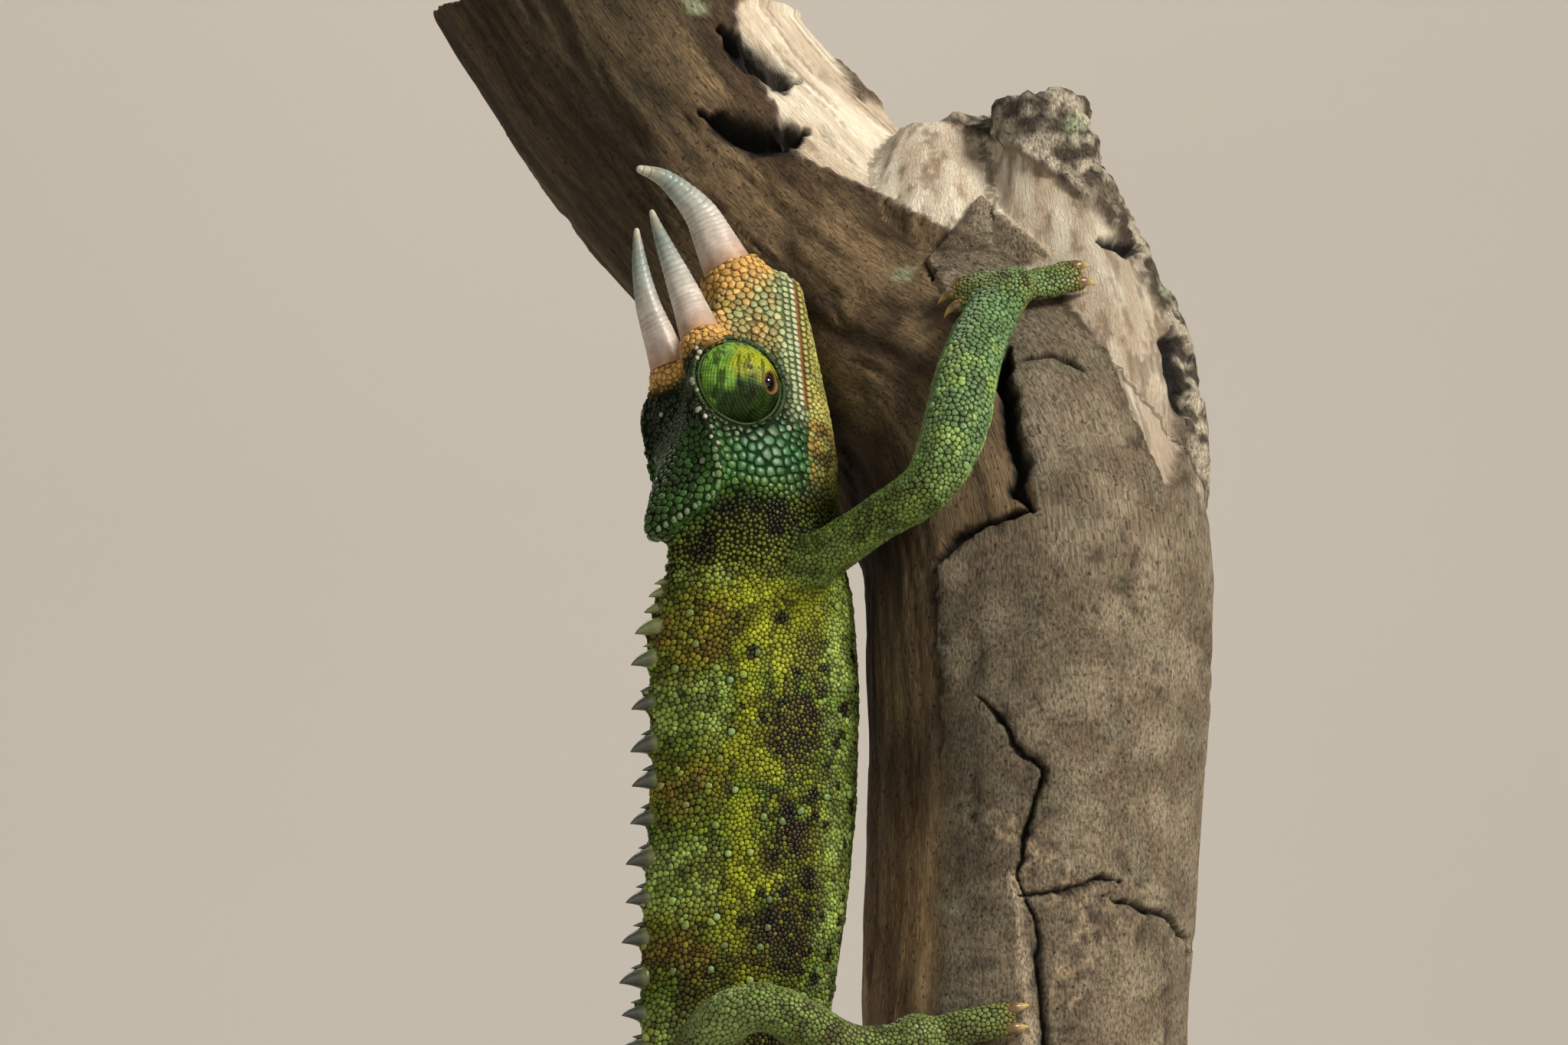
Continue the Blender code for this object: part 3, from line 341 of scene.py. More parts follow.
# %% Head, back bone, limbs, branch and toes
HEAD_CENTRE = np.array([-40.85, -6.5, 82.8])
HEAD_TURN, HEAD_LEAN, BODY_TURN = math.radians(25), math.radians(18), math.radians(12)
FORWARD = np.array([0, math.sin(HEAD_LEAN), math.cos(HEAD_LEAN)])
CROWN = np.array(
    [
        -math.cos(HEAD_TURN),
        -math.sin(HEAD_TURN) * math.cos(HEAD_LEAN),
        math.sin(HEAD_TURN) * math.sin(HEAD_LEAN),
    ]
)
RIGHT = np.array(
    [
        math.sin(HEAD_TURN),
        -math.cos(HEAD_TURN) * math.cos(HEAD_LEAN),
        math.cos(HEAD_TURN) * math.sin(HEAD_LEAN),
    ]
)
BODY_BACK = np.array([-math.cos(BODY_TURN), -math.sin(BODY_TURN), 0.0])
BODY_RIGHT = np.array([math.sin(BODY_TURN), -math.cos(BODY_TURN), 0.0])
MOUTH_LEVEL = -9.3
EYE_RADIUS, EYE_OUT = 5.65, 6.5
EYE_SPOT = (-0.8, 0.5)
HORN_BASES = {"horn_nose": (19.8, -1.5, 0.0), "horn_right": (6.6, 4.5, 4.9), "horn_left": (6.6, 4.5, -4.9)}

# out from the trunk's axis, height, reach to the back, reach to the belly
BODY = (
    (36.5, 56.0, 13.0, 13.0), (36.8, 48.0, 13.8, 13.8), (36.8, 36.0, 13.6, 13.7), (37.4, 24.0, 13.5, 13.4),
    (38.5, 13.0, 13.1, 13.0), (39.4, 5.0, 12.5, 12.6), (41.3, -3.0, 10.6, 11.4), (43.8, -9.5, 8.1, 8.6),
    (46.0, -16.0, 6.2, 6.2), (47.8, -24.0, 5.0, 4.9), (49.1, -33.0, 4.1, 4.0),
)  # fmt: skip
NECK_START, NECK_SIZES, NECK_BLEND = (-15.3, -5.1), (11.0, 11.6), 16.0
CURL_RADIUS, CURL_TURNS, CURL_CENTRE, CURL_SIZE, TIP_SIZE = 12.0, 1.8, (37.6, -42.0), 2.9, 0.55
HIPS_END = 84.0


def in_head(forward, crown, right):
    forward, crown, right = (np.asarray(v, float)[..., None] for v in (forward, crown, right))
    return HEAD_CENTRE + forward * FORWARD + crown * CROWN + right * RIGHT


def head_measures(points):
    """Forward, crown and right of points."""
    off = points - HEAD_CENTRE
    return off @ FORWARD, off @ CROWN, off @ RIGHT


def sagittal(out, height):
    return BODY_BACK * out + np.array([0, 0, height])


def eye_centre(hand):
    return in_head(*EYE_SPOT, hand * EYE_OUT)


def body_rows():
    """The back bone and its sizes, ending in a curl whose radius halves with each turn."""
    rows = [(*in_head(*NECK_START, 0.0), *NECK_SIZES)]
    rows += [(*sagittal(out, height), *sizes) for out, height, *sizes in BODY]
    turns = np.linspace(0.0, CURL_TURNS * 2 * math.pi, int(CURL_TURNS * 14))
    for turn in turns:
        radius = CURL_RADIUS * math.exp(-math.log(2) / (2 * math.pi) * turn)
        share = turn / turns[-1]
        size = CURL_SIZE * (1 - share) ** 0.9 + TIP_SIZE
        out, height = CURL_CENTRE[0] + radius * math.cos(turn), CURL_CENTRE[1] - radius * math.sin(turn)
        rows.append((*(sagittal(out, height) - BODY_RIGHT * 1.2 * share), size, size))
    return rows


BODY_ARC, BODY_PATH = path_through(body_rows(), 0.5)


def body_at(arc):
    """Centre, back, right and tail directions, and the reaches to the back and belly, at distances
    along the body."""
    rows = columns_at(arc, BODY_ARC, BODY_PATH)
    tangent = unit(columns_at(arc, BODY_ARC, np.gradient(BODY_PATH[:, :3], BODY_ARC, axis=0)))
    turned = ease(0, NECK_BLEND, arc)[:, None]
    tangent = unit(tangent * turned - FORWARD * (1 - turned))
    right = unit(RIGHT * (1 - turned) + BODY_RIGHT * turned)
    back = unit(np.cross(tangent, right))
    return rows[:, :3], back, np.cross(back, tangent), tangent, rows[:, 3], rows[:, 4]


# the paths of the limbs: x, y, z, radius
LIMBS = {
    "arm_right": (
        (-34.0, -9.0, 58.5, 4.6), (-27.5, -14.5, 62.0, 3.8), (-20.5, -21.0, 66.0, 3.4),
        (-13.6, -25.6, 70.4, 4.0),
        (-10.9, -24.6, 76.6, 4.6), (-9.2, -20.2, 84.0, 4.5), (-7.0, -13.6, 91.0, 4.0),
        (-5.0, -10.2, 94.6, 3.7),
    ),
    "arm_left": (
        (-36.0, -3.0, 58.5, 4.6), (-32.5, 4.6, 62.0, 3.8), (-29.5, 13.5, 66.0, 3.4), (-27.0, 22.0, 69.6, 4.0),
        (-23.4, 28.0, 72.6, 4.5), (-18.0, 33.5, 77.0, 4.3), (-11.5, 37.6, 82.2, 3.7), (-8.4, 38.6, 84.4, 3.5),
    ),
    "leg_right": (
        (-43.0, -10.5, -4.0, 5.2), (-41.5, -17.5, 0.0, 4.4), (-38.6, -24.2, 3.6, 3.7),
        (-34.4, -26.8, 4.4, 3.6),
        (-29.0, -25.4, 1.8, 3.7), (-23.5, -22.6, -0.4, 3.3), (-18.6, -21.6, 0.2, 2.8),
    ),
    "leg_left": (
        (-44.0, -6.0, -5.0, 5.2), (-45.0, 1.0, -3.0, 4.4), (-44.6, 8.4, -1.4, 3.7), (-41.4, 12.4, -2.6, 3.6),
        (-36.4, 13.6, -6.4, 3.7), (-31.2, 13.4, -10.2, 3.3), (-26.6, 14.6, -12.4, 2.8),
    ),
}  # fmt: skip
# each palm, and its two bundles of toes: how many, the middle toe's end, how far the toes are apart
GRIPS = {
    "arm_right": ((-2.6, -9.0, 97.2), ((2, (6.6, -6.0, 99.6), 2.6), (3, (-11.0, -6.6, 95.4), 2.2))),
    "arm_left": ((-4.4, 38.2, 87.0), ((2, (6.2, 34.0, 90.6), 2.6), (3, (-6.8, 40.0, 97.0), 2.2))),
    "leg_right": ((-14.6, -20.0, 1.4), ((2, (-2.6, -24.0, 3.4), 2.4), (3, (-7.4, -23.0, -9.6), 2.4))),
    "leg_left": ((-23.0, 14.6, -12.4), ((2, (-12.0, 21.0, -9.0), 2.4), (3, (-17.6, 19.0, -22.4), 2.4))),
}
PALM_RADIUS, UNDER_BARK = 3.2, -6.0
TOE_LIFTS, TOE_SHARES = (2.6, 2.2, 1.6, 1.1), np.array([[0.0], [0.45], [0.8], [1.0]])

# the limbs of the branch: x, y, z, radius
LIMB = (
    (-1.5, 0.0, -45.0, 20.4), (-1.6, 0.0, -20.0, 20.6), (-1.2, 0.0, 5.0, 20.9), (-0.2, 0.0, 30.0, 21.4),
    (0.0, 0.0, 50.0, 21.9), (-0.6, 1.2, 66.0, 22.4), (-4.6, 8.5, 80.0, 22.4), (-13.5, 20.0, 92.0, 22.0),
    (-24.0, 28.5, 103.0, 21.6), (-34.8, 33.0, 114.5, 21.4), (-44.5, 35.0, 126.0, 21.2),
    (-54.0, 36.5, 139.0, 21.0), (-62.0, 37.5, 152.0, 21.0),
)  # fmt: skip
STUB = (
    (0.0, 5.0, 64.0, 20.5), (3.4, 7.0, 78.0, 19.2), (5.0, 8.0, 88.0, 16.4), (4.8, 8.5, 97.0, 13.4),
    (3.6, 8.6, 105.0, 11.0), (2.2, 8.6, 114.0, 8.2), (1.1, 8.6, 124.5, 6.3),
)  # fmt: skip
CROTCH = (
    (-4.0, 12.0, 76.0, 19.0), (-7.6, 14.5, 92.0, 17.8), (-9.8, 16.0, 104.0, 15.2),
    (-10.8, 16.4, 115.0, 11.6), (-10.8, 16.4, 123.4, 6.4),
)  # fmt: skip
cores = [path_through(rows, 1.0) for rows in (LIMB, STUB, CROTCH)]


def off_branch(points, clearance):
    """Points moved straight out from the nearest limb's core until they stand `clearance` off it."""
    points = np.array(points, float)
    clearance = np.broadcast_to(np.asarray(clearance, float), (len(points),))
    core = np.vstack([rows for _, rows in cores])
    for _ in range(4):
        apart = points[:, None] - core[None, :, :3]
        far = np.linalg.norm(apart, axis=2)
        nearest = np.argmin(far - core[None, :, 3], axis=1)
        rows = np.arange(len(points))
        push = core[nearest, 3] + clearance - far[rows, nearest]
        points += apart[rows, nearest] / far[rows, nearest][:, None] * push[:, None]
    return points


toe_ends = []  # the place and heading of each toe's end
for palm, bundles in GRIPS.values():
    palm = off_branch([palm], PALM_RADIUS)[0]
    for count, tip, apart in bundles:
        outward = unit(np.array(tip) - palm)
        from_bark = unit(palm - off_branch([palm], UNDER_BARK)[0])
        across_toes = unit(np.cross(outward, from_bark))
        for number in range(count):
            offset = number - (count - 1) / 2
            shorter = 1 - 0.12 * abs(offset) - 0.04 * number
            target = palm + (np.array(tip) - palm) * shorter + across_toes * offset * apart
            start = palm + across_toes * offset * apart * 0.45 + outward * 0.3
            toe_line = off_branch(start + TOE_SHARES * (target - start), TOE_LIFTS)
            heading = unit(toe_line[-1] - toe_line[-2])
            toe_ends.append((toe_line[-1] + heading * 0.5, heading))
print("toes", len(toe_ends))
print("length of the back bone and tail, mm:", round(float(BODY_ARC[-1]), 1))

# %% [markdown]
# ## The skin
#
# Skin has no seams, but the solids are cut at the neck, shoulders and joints. So copies of all the
# flesh solids are swollen until they meet, turned into one surface on a fine grid of voxels,
# smoothed, and drawn back in by the depth of the scales. Sculpting by hand would reach the same
# form, but a remesh keeps every proportion of the solids.

# %% One skin from the flesh solids
FLESH = ["head", "lower_jaw", "neck", "chest", "belly", "hips"] + [f"tail_{i}" for i in range(1, 6)]
FLESH += [
    part + side
    for part in ("upper_arm_", "forearm_", "hand_", "thigh_", "shin_", "foot_")
    for side in ("right", "left")
]
SWELL = 0.3
COAT_DEPTH = 0.24
SKIN_VOXEL = 0.5


def without_claws(points):
    """The points, with those past a toe's end drawn back to it, so that the skin closes there."""
    for end, heading in toe_ends:
        ahead = (points - end) @ heading
        apart = np.linalg.norm(points - end - ahead[:, None] * heading, axis=1)
        past = (ahead > 0.1) & (ahead < 2.8) & (apart < 1.15)
        points = points - (past * (ahead - 0.1))[:, None] * heading
    return points


def swollen_copy(nodes, swell):
    """One mesh of the nodes' merged copies, each point moved out along its normal by `swell` mm."""
    whole = bmesh.new()
    for node in nodes:
        count_before = len(whole.verts)
        whole.from_mesh(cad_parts[node].data)
        whole.verts.ensure_lookup_table()
        bmesh.ops.remove_doubles(whole, verts=whole.verts[count_before:], dist=0.002 * MM)
    whole.normal_update()
    drawn_back = without_claws(in_millimetres([vertex.co[:] for vertex in whole.verts]))
    for vertex, place in zip(whole.verts, in_metres(drawn_back).tolist()):
        vertex.co = place
    for vertex in whole.verts:
        vertex.co = vertex.co + vertex.normal * swell * MM
    mesh = bpy.data.meshes.new("swollen")
    whole.to_mesh(mesh)
    whole.free()
    return mesh


def remeshed(mesh, voxel):
    """Points in mm and four-cornered faces of the mesh's surface on a voxel grid."""
    holder = placed("holder", mesh)
    grid = holder.modifiers.new("grid", "REMESH")
    grid.mode = "VOXEL"
    grid.voxel_size = voxel * MM
    graph = bpy.context.evaluated_depsgraph_get()
    result = bpy.data.meshes.new_from_object(holder.evaluated_get(graph))
    points = np.empty(len(result.vertices) * 3, np.float32)
    result.vertices.foreach_get("co", points)
    corners = np.empty(len(result.loops), np.int32)
    result.loops.foreach_get("vertex_index", corners)
    bpy.data.objects.remove(holder)
    bpy.data.meshes.remove(mesh)
    bpy.data.meshes.remove(result)
    return in_millimetres(points.reshape(-1, 3)), corners.reshape(-1, 4).astype(np.int64)


def edges_of(faces):
    """Each edge once, as a pair of point numbers."""
    pairs = np.concatenate([faces[:, [k, (k + 1) % faces.shape[1]]] for k in range(faces.shape[1])])
    return np.unique(np.sort(pairs, axis=1), axis=0)


def spread(values, edges, times, amount=0.5):
    """Each value moved towards the mean of its neighbours, over and over."""
    values = np.array(values, float)
    count = len(values)
    degree = np.maximum(np.bincount(edges.ravel(), minlength=count), 1)
    flat = values.reshape(count, -1)
    for _ in range(times):
        for column in range(flat.shape[1]):
            v = flat[:, column]
            total = np.bincount(edges[:, 0], v[edges[:, 1]], count)
            total += np.bincount(edges[:, 1], v[edges[:, 0]], count)
            flat[:, column] = v + amount * (total / degree - v)
    return values


def fair(points, edges, rounds):
    """Smoothing that keeps the volume: a step in, then a slightly larger step out."""
    for _ in range(rounds):
        points = spread(points, edges, 1, 0.6)
        points = spread(points, edges, 1, -0.62)
    return points


def normals_of(points, faces):
    """The normal at each point: the sum over its faces of the crossed diagonals, or of a triangle's
    crossed sides."""
    corner = [points[faces[:, k]] for k in range(faces.shape[1])]
    if len(corner) == 4:
        crossed = np.cross(corner[2] - corner[0], corner[3] - corner[1])
    else:
        crossed = np.cross(corner[1] - corner[0], corner[2] - corner[0])
    total = np.zeros_like(points)
    for axis in range(3):
        for column in faces.T:
            total[:, axis] += np.bincount(column, crossed[:, axis], len(points))
    return unit(total)


def kept_body(points, faces):
    """Only the points and faces of the largest connected surface."""
    label = np.arange(len(points))
    edges = edges_of(faces)
    while True:
        low = np.minimum(label[edges[:, 0]], label[edges[:, 1]])
        before = label.copy()
        np.minimum.at(label, edges[:, 0], low)
        np.minimum.at(label, edges[:, 1], low)
        label = label[label]
        if np.array_equal(before, label):
            break
    keep = label == np.bincount(label).argmax()
    fresh = np.cumsum(keep) - 1
    return points[keep], fresh[faces[keep[faces[:, 0]]]]


skin_points, skin_faces = remeshed(swollen_copy(FLESH, SWELL), SKIN_VOXEL)
skin_points, skin_faces = kept_body(skin_points, skin_faces)
skin_edges = edges_of(skin_faces)
skin_points = fair(skin_points, skin_edges, 10)
skin_points = skin_points - normals_of(skin_points, skin_faces) * (SWELL + COAT_DEPTH)
skin_points = fair(skin_points, skin_edges, 2)
print("skin points", len(skin_points), "faces", len(skin_faces))

# %% [markdown]
# ## Where each spot of skin is
#
# A painter knows without thinking that a spot is on the cheek or the elbow. Here each point of the
# skin looks up the nearest solid, and the hard borders between solids are then spread over the
# mesh, so that one colour can run into the next across a shoulder. The place along the back bone
# comes from the nearest sample of its path.


# %% Regions and measures of the skin
def nearest_solid(points):
    """For each point the index in FLESH of the solid whose surface is nearest."""
    corners, faces, owner = [], [], []
    start = 0
    for number, node in enumerate(FLESH):
        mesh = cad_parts[node].data
        co = np.empty(len(mesh.vertices) * 3, np.float32)
        mesh.vertices.foreach_get("co", co)
        mesh.calc_loop_triangles()
        tri = np.empty(len(mesh.loop_triangles) * 3, np.int32)
        mesh.loop_triangles.foreach_get("vertices", tri)
        corners.append(in_millimetres(co.reshape(-1, 3)))
        faces.append(tri.reshape(-1, 3) + start)
        owner.append(np.full(len(tri) // 3, number))
        start += len(co) // 3
    owner = np.concatenate(owner)
    tree = BVHTree.FromPolygons(np.concatenate(corners).tolist(), np.concatenate(faces).tolist())
    return owner[[tree.find_nearest(p)[2] for p in points.tolist()]]


def kd_of(points):
    """A tree that finds the points nearest to a place."""
    tree = KDTree(len(points))
    for number, point in enumerate(points.tolist()):
        tree.insert(point, number)
    tree.balance()
    return tree


def nearest_sample(points, samples):
    """For each point the number of the sample nearest to it."""
    tree = kd_of(samples)
    return np.array([tree.find(p)[1] for p in points.tolist()])


GROUPS = ("head", "neck", "torso", "tail", "arm", "hand", "leg", "foot")
GROUP_OF = {
    "head": 0, "lower_jaw": 0, "neck": 1, "chest": 2, "belly": 2, "hips": 2, "tail": 3,
    "upper_arm": 4, "forearm": 4, "hand": 5, "thigh": 6, "shin": 6, "foot": 7,
}  # fmt: skip


def group_of(node):
    """The group of a solid, by its name without its side or number."""
    return GROUP_OF[node if node in GROUP_OF else node.rsplit("_", 1)[0]]


skin_normals = normals_of(skin_points, skin_faces)
skin_group = np.array([group_of(node) for node in FLESH])[nearest_solid(skin_points)]
skin_weights = spread(np.eye(len(GROUPS))[skin_group], skin_edges, 16)

limb_samples = {}
for limb, rows in LIMBS.items():
    arc, path = path_through(rows, 1.0)
    limb_samples[limb] = (arc / arc[-1], path)


def measures(points, weights):
    """Everything the markings need to know of a spot: head, body and limb places."""
    place = {"p": points, "w": weights}
    place["forward"], place["crown"], place["right"] = head_measures(points)
    place["side"] = np.abs(place["right"])
    sample = nearest_sample(points, BODY_PATH[:, :3])
    place["arc"] = BODY_ARC[sample]
    centre, back, aside, tangent, above, below = body_at(BODY_ARC[sample])
    off = points - centre
    place["back"] = np.einsum("ij,ij->i", off, back)
    place["aside"] = np.einsum("ij,ij->i", off, aside)
    place["reach"] = np.where(place["back"] > 0, above, below)
    place["along"] = tangent
    share = np.zeros(len(points))
    best = np.full(len(points), 99.0)
    for limb_share, path in limb_samples.values():
        near = nearest_sample(points, path[:, :3])
        far = np.linalg.norm(points - path[near, :3], axis=1)
        share = np.where(far < best, limb_share[near], share)
        best = np.minimum(best, far)
    place["limb"] = share
    return place


spots = measures(skin_points, skin_weights)
for number, name in enumerate(GROUPS):
    print(name, int((skin_group == number).sum()))

# %% [markdown]
# ## Folds in the skin
#
# Loose skin gathers where the neck bends, so fine rings run round it, and fainter ones round the
# flank. They are waves along the body, pressed in along the normals, and so is the groove of the
# mouth. A bump map would do for the small ones, but the edge of the neck is seen against the
# light, so these are real dents.

# %% Neck rings, flank rings, mouth groove
arc_wave = spots["arc"] + 0.5 * np.sin(spots["aside"] / 3.1) + clouds(skin_points, 5, 21) * 1.6
neck_rings = np.sin(arc_wave * 2 * math.pi / 1.75) * hill(spots["arc"], 5.0, 6.5)
body_share = skin_weights[:, 1] + skin_weights[:, 2]
near_neck = hill(spots["arc"], 5.0, 9.0)
flank_rings = np.sin(arc_wave * 2 * math.pi / 2.6) * (1 - near_neck) * 0.3
mouth_groove = hill(spots["crown"], MOUTH_LEVEL, 0.42) * ease(-2.5, 0.0, spots["forward"])
swell = clouds(skin_points, 7.0, 31, 2) - 0.5
press = 0.17 * (neck_rings - 1) * body_share + 0.09 * flank_rings * body_share
press += -0.22 * mouth_groove * skin_weights[:, 0] + 0.3 * swell * (skin_weights[:, 2] + skin_weights[:, 6])
skin_points = skin_points + skin_normals * press[:, None]
skin_normals = normals_of(skin_points, skin_faces)
print("deepest dent, mm:", round(float(-press.min()), 2))

# %% [markdown]
# ## The markings
#
# The markings are the animal's identity, and skin and scales must carry the same ones. So they
# are one function of the place on the animal: emerald cheeks, a yellow-green stripe from the
# shoulder, umber blotches, black spots, mint on the forearm, a nearly black neck. Painted light
# and shade go into the same function: painted shadow on the neck next to the head, a painted
# shade ring round each eye's socket, painted shade on the belly's underside and painted light on
# the back. An image would need unwrapping and would smear at seams; noise in millimetres of the
# animal does not.

# %% Pigments
PIGMENTS = {
    "olive": paint(78, 82, 16),
    "leaf": paint(66, 86, 20),
    "yellow_green": paint(150, 156, 32),
    "mint": paint(142, 166, 84),
    "rust": paint(112, 84, 30),
    "umber": paint(37, 27, 10),
    "black_spot": paint(13, 12, 8),
    "emerald": paint(23, 72, 34),
    "pale_emerald": paint(60, 108, 58),
    "temple": paint(34, 50, 19),
    "casque": paint(58, 94, 42),
    "snout": paint(138, 128, 78),
    "lip": paint(146, 160, 112),
    "jaw": paint(164, 160, 84),
    "throat": paint(134, 106, 44),
    "collar": paint(196, 152, 84),
    "neck_bead": paint(98, 106, 28),
    "neck_dark": paint(42, 44, 16),
    "arm": paint(88, 116, 72),
    "arm_shade": paint(100, 120, 54),
    "hand": paint(98, 110, 58),
    "leg": paint(90, 98, 54),
    "leg_dark": paint(52, 42, 24),
    "tail_green": paint(76, 90, 38),
}
# each horn's scaly collar: its foot (forward, crown, right), from which it reaches the horn's base,
# and its radius
COLLARS = (
    ("horn_nose", (13.4, -5.0, 0.0), 4.2),
    ("horn_right", (1.6, 2.9, 5.2), 3.2),
    ("horn_left", (2.0, 2.4, -5.2), 3.2),
)


def over(colour, *layers):
    """The colour with pigments laid over it in turn, each a name or a colour, by its own share."""
    for pigment, share in layers:
        colour = mix(colour, PIGMENTS[pigment] if isinstance(pigment, str) else pigment, share)
    return colour


def near_collar(place):
    """1 on the scaly ring at a horn's foot, fading out away from it."""
    here = np.stack([place["forward"], place["crown"], place["right"]], -1)
    strongest = np.zeros(len(here))
    for horn, foot, radius in COLLARS:
        top, foot = np.array(HORN_BASES[horn]), np.array(foot)
        share = np.clip(((here - foot) @ (top - foot)) / ((top - foot) @ (top - foot)), 0, 1.2)
        far = np.linalg.norm(here - (foot + share[:, None] * (top - foot)), axis=1)
        inside = 1 - ease(radius, radius + 1.6, far)
        strongest = np.maximum(strongest, inside * ease(0.2, 0.62, share))
    return strongest


def head_colour(place):
    p, forward, crown, side = (place[key] for key in ("p", "forward", "crown", "side"))
    cloud, fleck = clouds(p, 3.2, 41), clouds(p, 1.6, 42)
    cheek = hill(forward, -10.0, 5.2) * hill(crown, -3.6, 4.4) * ease(2, 5, side)
    lip = ease(-5.4, -6.9, crown) * ease(MOUTH_LEVEL - 0.4, MOUTH_LEVEL + 0.2, crown) * ease(-6, -2, forward)
    jaw = ease(MOUTH_LEVEL, MOUTH_LEVEL - 0.7, crown) * ease(-15.5, -8, forward)
    brown = hill(forward, -6.0, 2.6) * hill(crown, -12.0, 1.8) * ease(0.4, 0.6, cloud)
    nape = ease(-10, -16, forward) * ease(-6, -10, crown)
    eye_gap = np.hypot(forward - EYE_SPOT[0], crown - EYE_SPOT[1])
    ring = ease(8.4, 7.2, eye_gap) * ease(4.6, 5.6, eye_gap) * ease(3, 5, side) * ease(6, 1, forward)
    colour = over(
        PIGMENTS["temple"],
        ("casque", ease(-4, -13, forward) * ease(0.35, 0.6, cloud)),
        ("emerald", np.clip(cheek * 1.4, 0, 1) * (0.7 + 0.3 * ease(0.35, 0.55, cloud))),
        ("pale_emerald", hill(forward, -7.4, 3.0) * hill(crown, -4.2, 3.0) * 0.6),
        (PIGMENTS["leaf"] * 1.3, ease(-10.5, -14.5, forward + cloud * 2) * np.clip(cheek * 1.6, 0, 1) * 0.8),
        ("snout", ease(3.5, 8.5, forward) * ease(0.5, 3, forward + crown + 8)),
        ("collar", ease(0.54, 0.66, fleck) * ease(5, 9, forward) * ease(-7.5, -5, crown) * 0.55),
        ("lip", ease(0.48, 0.36, fleck) * ease(3, 7, forward) * ease(2, -3, crown) * 0.8),
        ("lip", lip * 0.9),
        ("jaw", jaw * (0.55 + 0.45 * ease(0.35, 0.65, cloud))),
        ("throat", jaw * ease(0.42, 0.6, clouds(p, 1.8, 45)) * ease(4, -6, forward)),
        ("umber", jaw * ease(0.5, 0.62, clouds(p, 2.0, 47)) * ease(-1, -8, forward) * 0.8),
        ("collar", near_collar(place) * 0.95),
        ("umber", np.clip(brown + nape * 0.6, 0, 0.85)),
        # painted shade: a dark ring on the head round each eye's socket
        (PIGMENTS["temple"] * 0.6, ring * 0.75),
    )
    return colour * (0.70 + 0.6 * clouds(p, 1.3, 43))[:, None]


def torso_colour(place):
    p, arc, back = place["p"], place["arc"], place["back"]
    broad, middle, patchy = clouds(p, 7.0, 51), clouds(p, 2.1, 53), clouds(p * [1, 1, 0.8], 1.9, 57)
    low, dorsal = ease(4.5, 2.0, back), ease(4.0, 6.0, back)
    blotch = ease(0.385, 0.495, patchy + 0.06 * np.cos(2 * math.pi * (arc - 29) / 13))
    blotch = blotch * low * (0.7 + 0.3 * ease(16, 26, arc))
    stripe = hill(back + 2.4 * (middle - 0.5), 2.7, 1.8) * ease(4, 10, arc) * ease(60, 52, arc)
    stripe = stripe * (1 - 0.8 * hill(arc, 35, 2.6)) * (1 - 0.45 * ease(0.56, 0.66, patchy))
    shoulder = hill(arc, 11, 5.5) * hill(back, -1.0, 6.5) * (1 - 0.6 * ease(0.5, 0.6, patchy))
    uneven = 0.55 + 0.45 * ease(0.42, 0.6, clouds(p, 1.5, 65))
    colour = over(
        PIGMENTS["olive"],
        ("leaf", ease(0.4, 0.6, broad)),
        ("yellow_green", ease(0.5, 0.62, middle) * low * 0.55),
        ("umber", blotch * (0.72 + 0.27 * ease(0.45, 0.6, broad))),
        ("yellow_green", np.clip(stripe + shoulder, 0, 1) * 0.9 * uneven),
    )
    band = 0.5 + 0.5 * np.cos(2 * math.pi * (arc - 36 + 6 * (broad - 0.5)) / 22.0)
    dark = 0.7 * ease(3.0, 4.6, back) * ease(0.52, 0.62, patchy)
    dark = np.clip(dark + hill(arc - 0.9 * back, 11.2, 1.8) * hill(back, 3.4, 3.0), 0, 1)
    far, draw = dots(p, 2.6, 61)
    spot = ease(1.0, 0.66, far + 0.8 * (middle - 0.5)) * (draw < 0.56)
    spot = spot * ease(6.0, 3.6, back) * ease(6, 9, arc)
    colour = over(
        # painted light: the colour on the back lifted by up to 45 percent
        colour * (1 + 0.45 * dorsal)[:, None],
        ("rust", dorsal * ease(0.4, 0.85, band) * (0.2 + 0.5 * ease(0.42, 0.6, middle))),
        ("mint", dorsal * ease(0.5, 0.9, 1 - band) * (0.3 + 0.55 * ease(0.4, 0.6, middle))),
        ("umber", dark * 0.8),
        ("mint", ease(-6.0, -10.0, back) * (0.25 + 0.45 * ease(0.42, 0.6, middle))),
        # painted shade: the belly's underside darkened with the upper arm's dark green
        ("arm_shade", ease(-11.6, -13.4, back) * 0.55),
        ("black_spot", spot * 0.93),
    )
    darker = 1 - 0.32 * ease(50, 62, arc) - 0.2 * hill(arc, 38, 9) * low
    return colour * (darker * (0.73 + 0.74 * clouds(p, 1.1, 63)))[:, None]


def neck_colour(place):
    broad = clouds(place["p"], 3.0, 71)
    colour = over(PIGMENTS["neck_dark"], ("neck_bead", ease(0.36, 0.56, broad)))
    # painted shadow: the neck darkens towards the head, where the casque and jaw overhang it
    colour = colour * (0.5 + 0.5 * ease(0.5, 5.0, place["arc"]))[:, None]
    yellow = ease(6.5, 9.5, place["arc"]) * ease(0.35, 0.6, broad)
    return over(colour, (PIGMENTS["yellow_green"] * 0.8, yellow * 0.8))


def tail_colour(place):
    band = 0.5 + 0.5 * np.cos(2 * math.pi * (place["arc"] - 92) / 13.0)
    colour = over(
        PIGMENTS["tail_green"],
        ("rust", ease(0.55, 0.9, band) * 0.7),
        (PIGMENTS["mint"] * 0.85, ease(0.6, 0.95, 1 - band) * 0.45),
    )
    return colour * (0.72 + 0.5 * clouds(place["p"], 2.0, 75))[:, None]


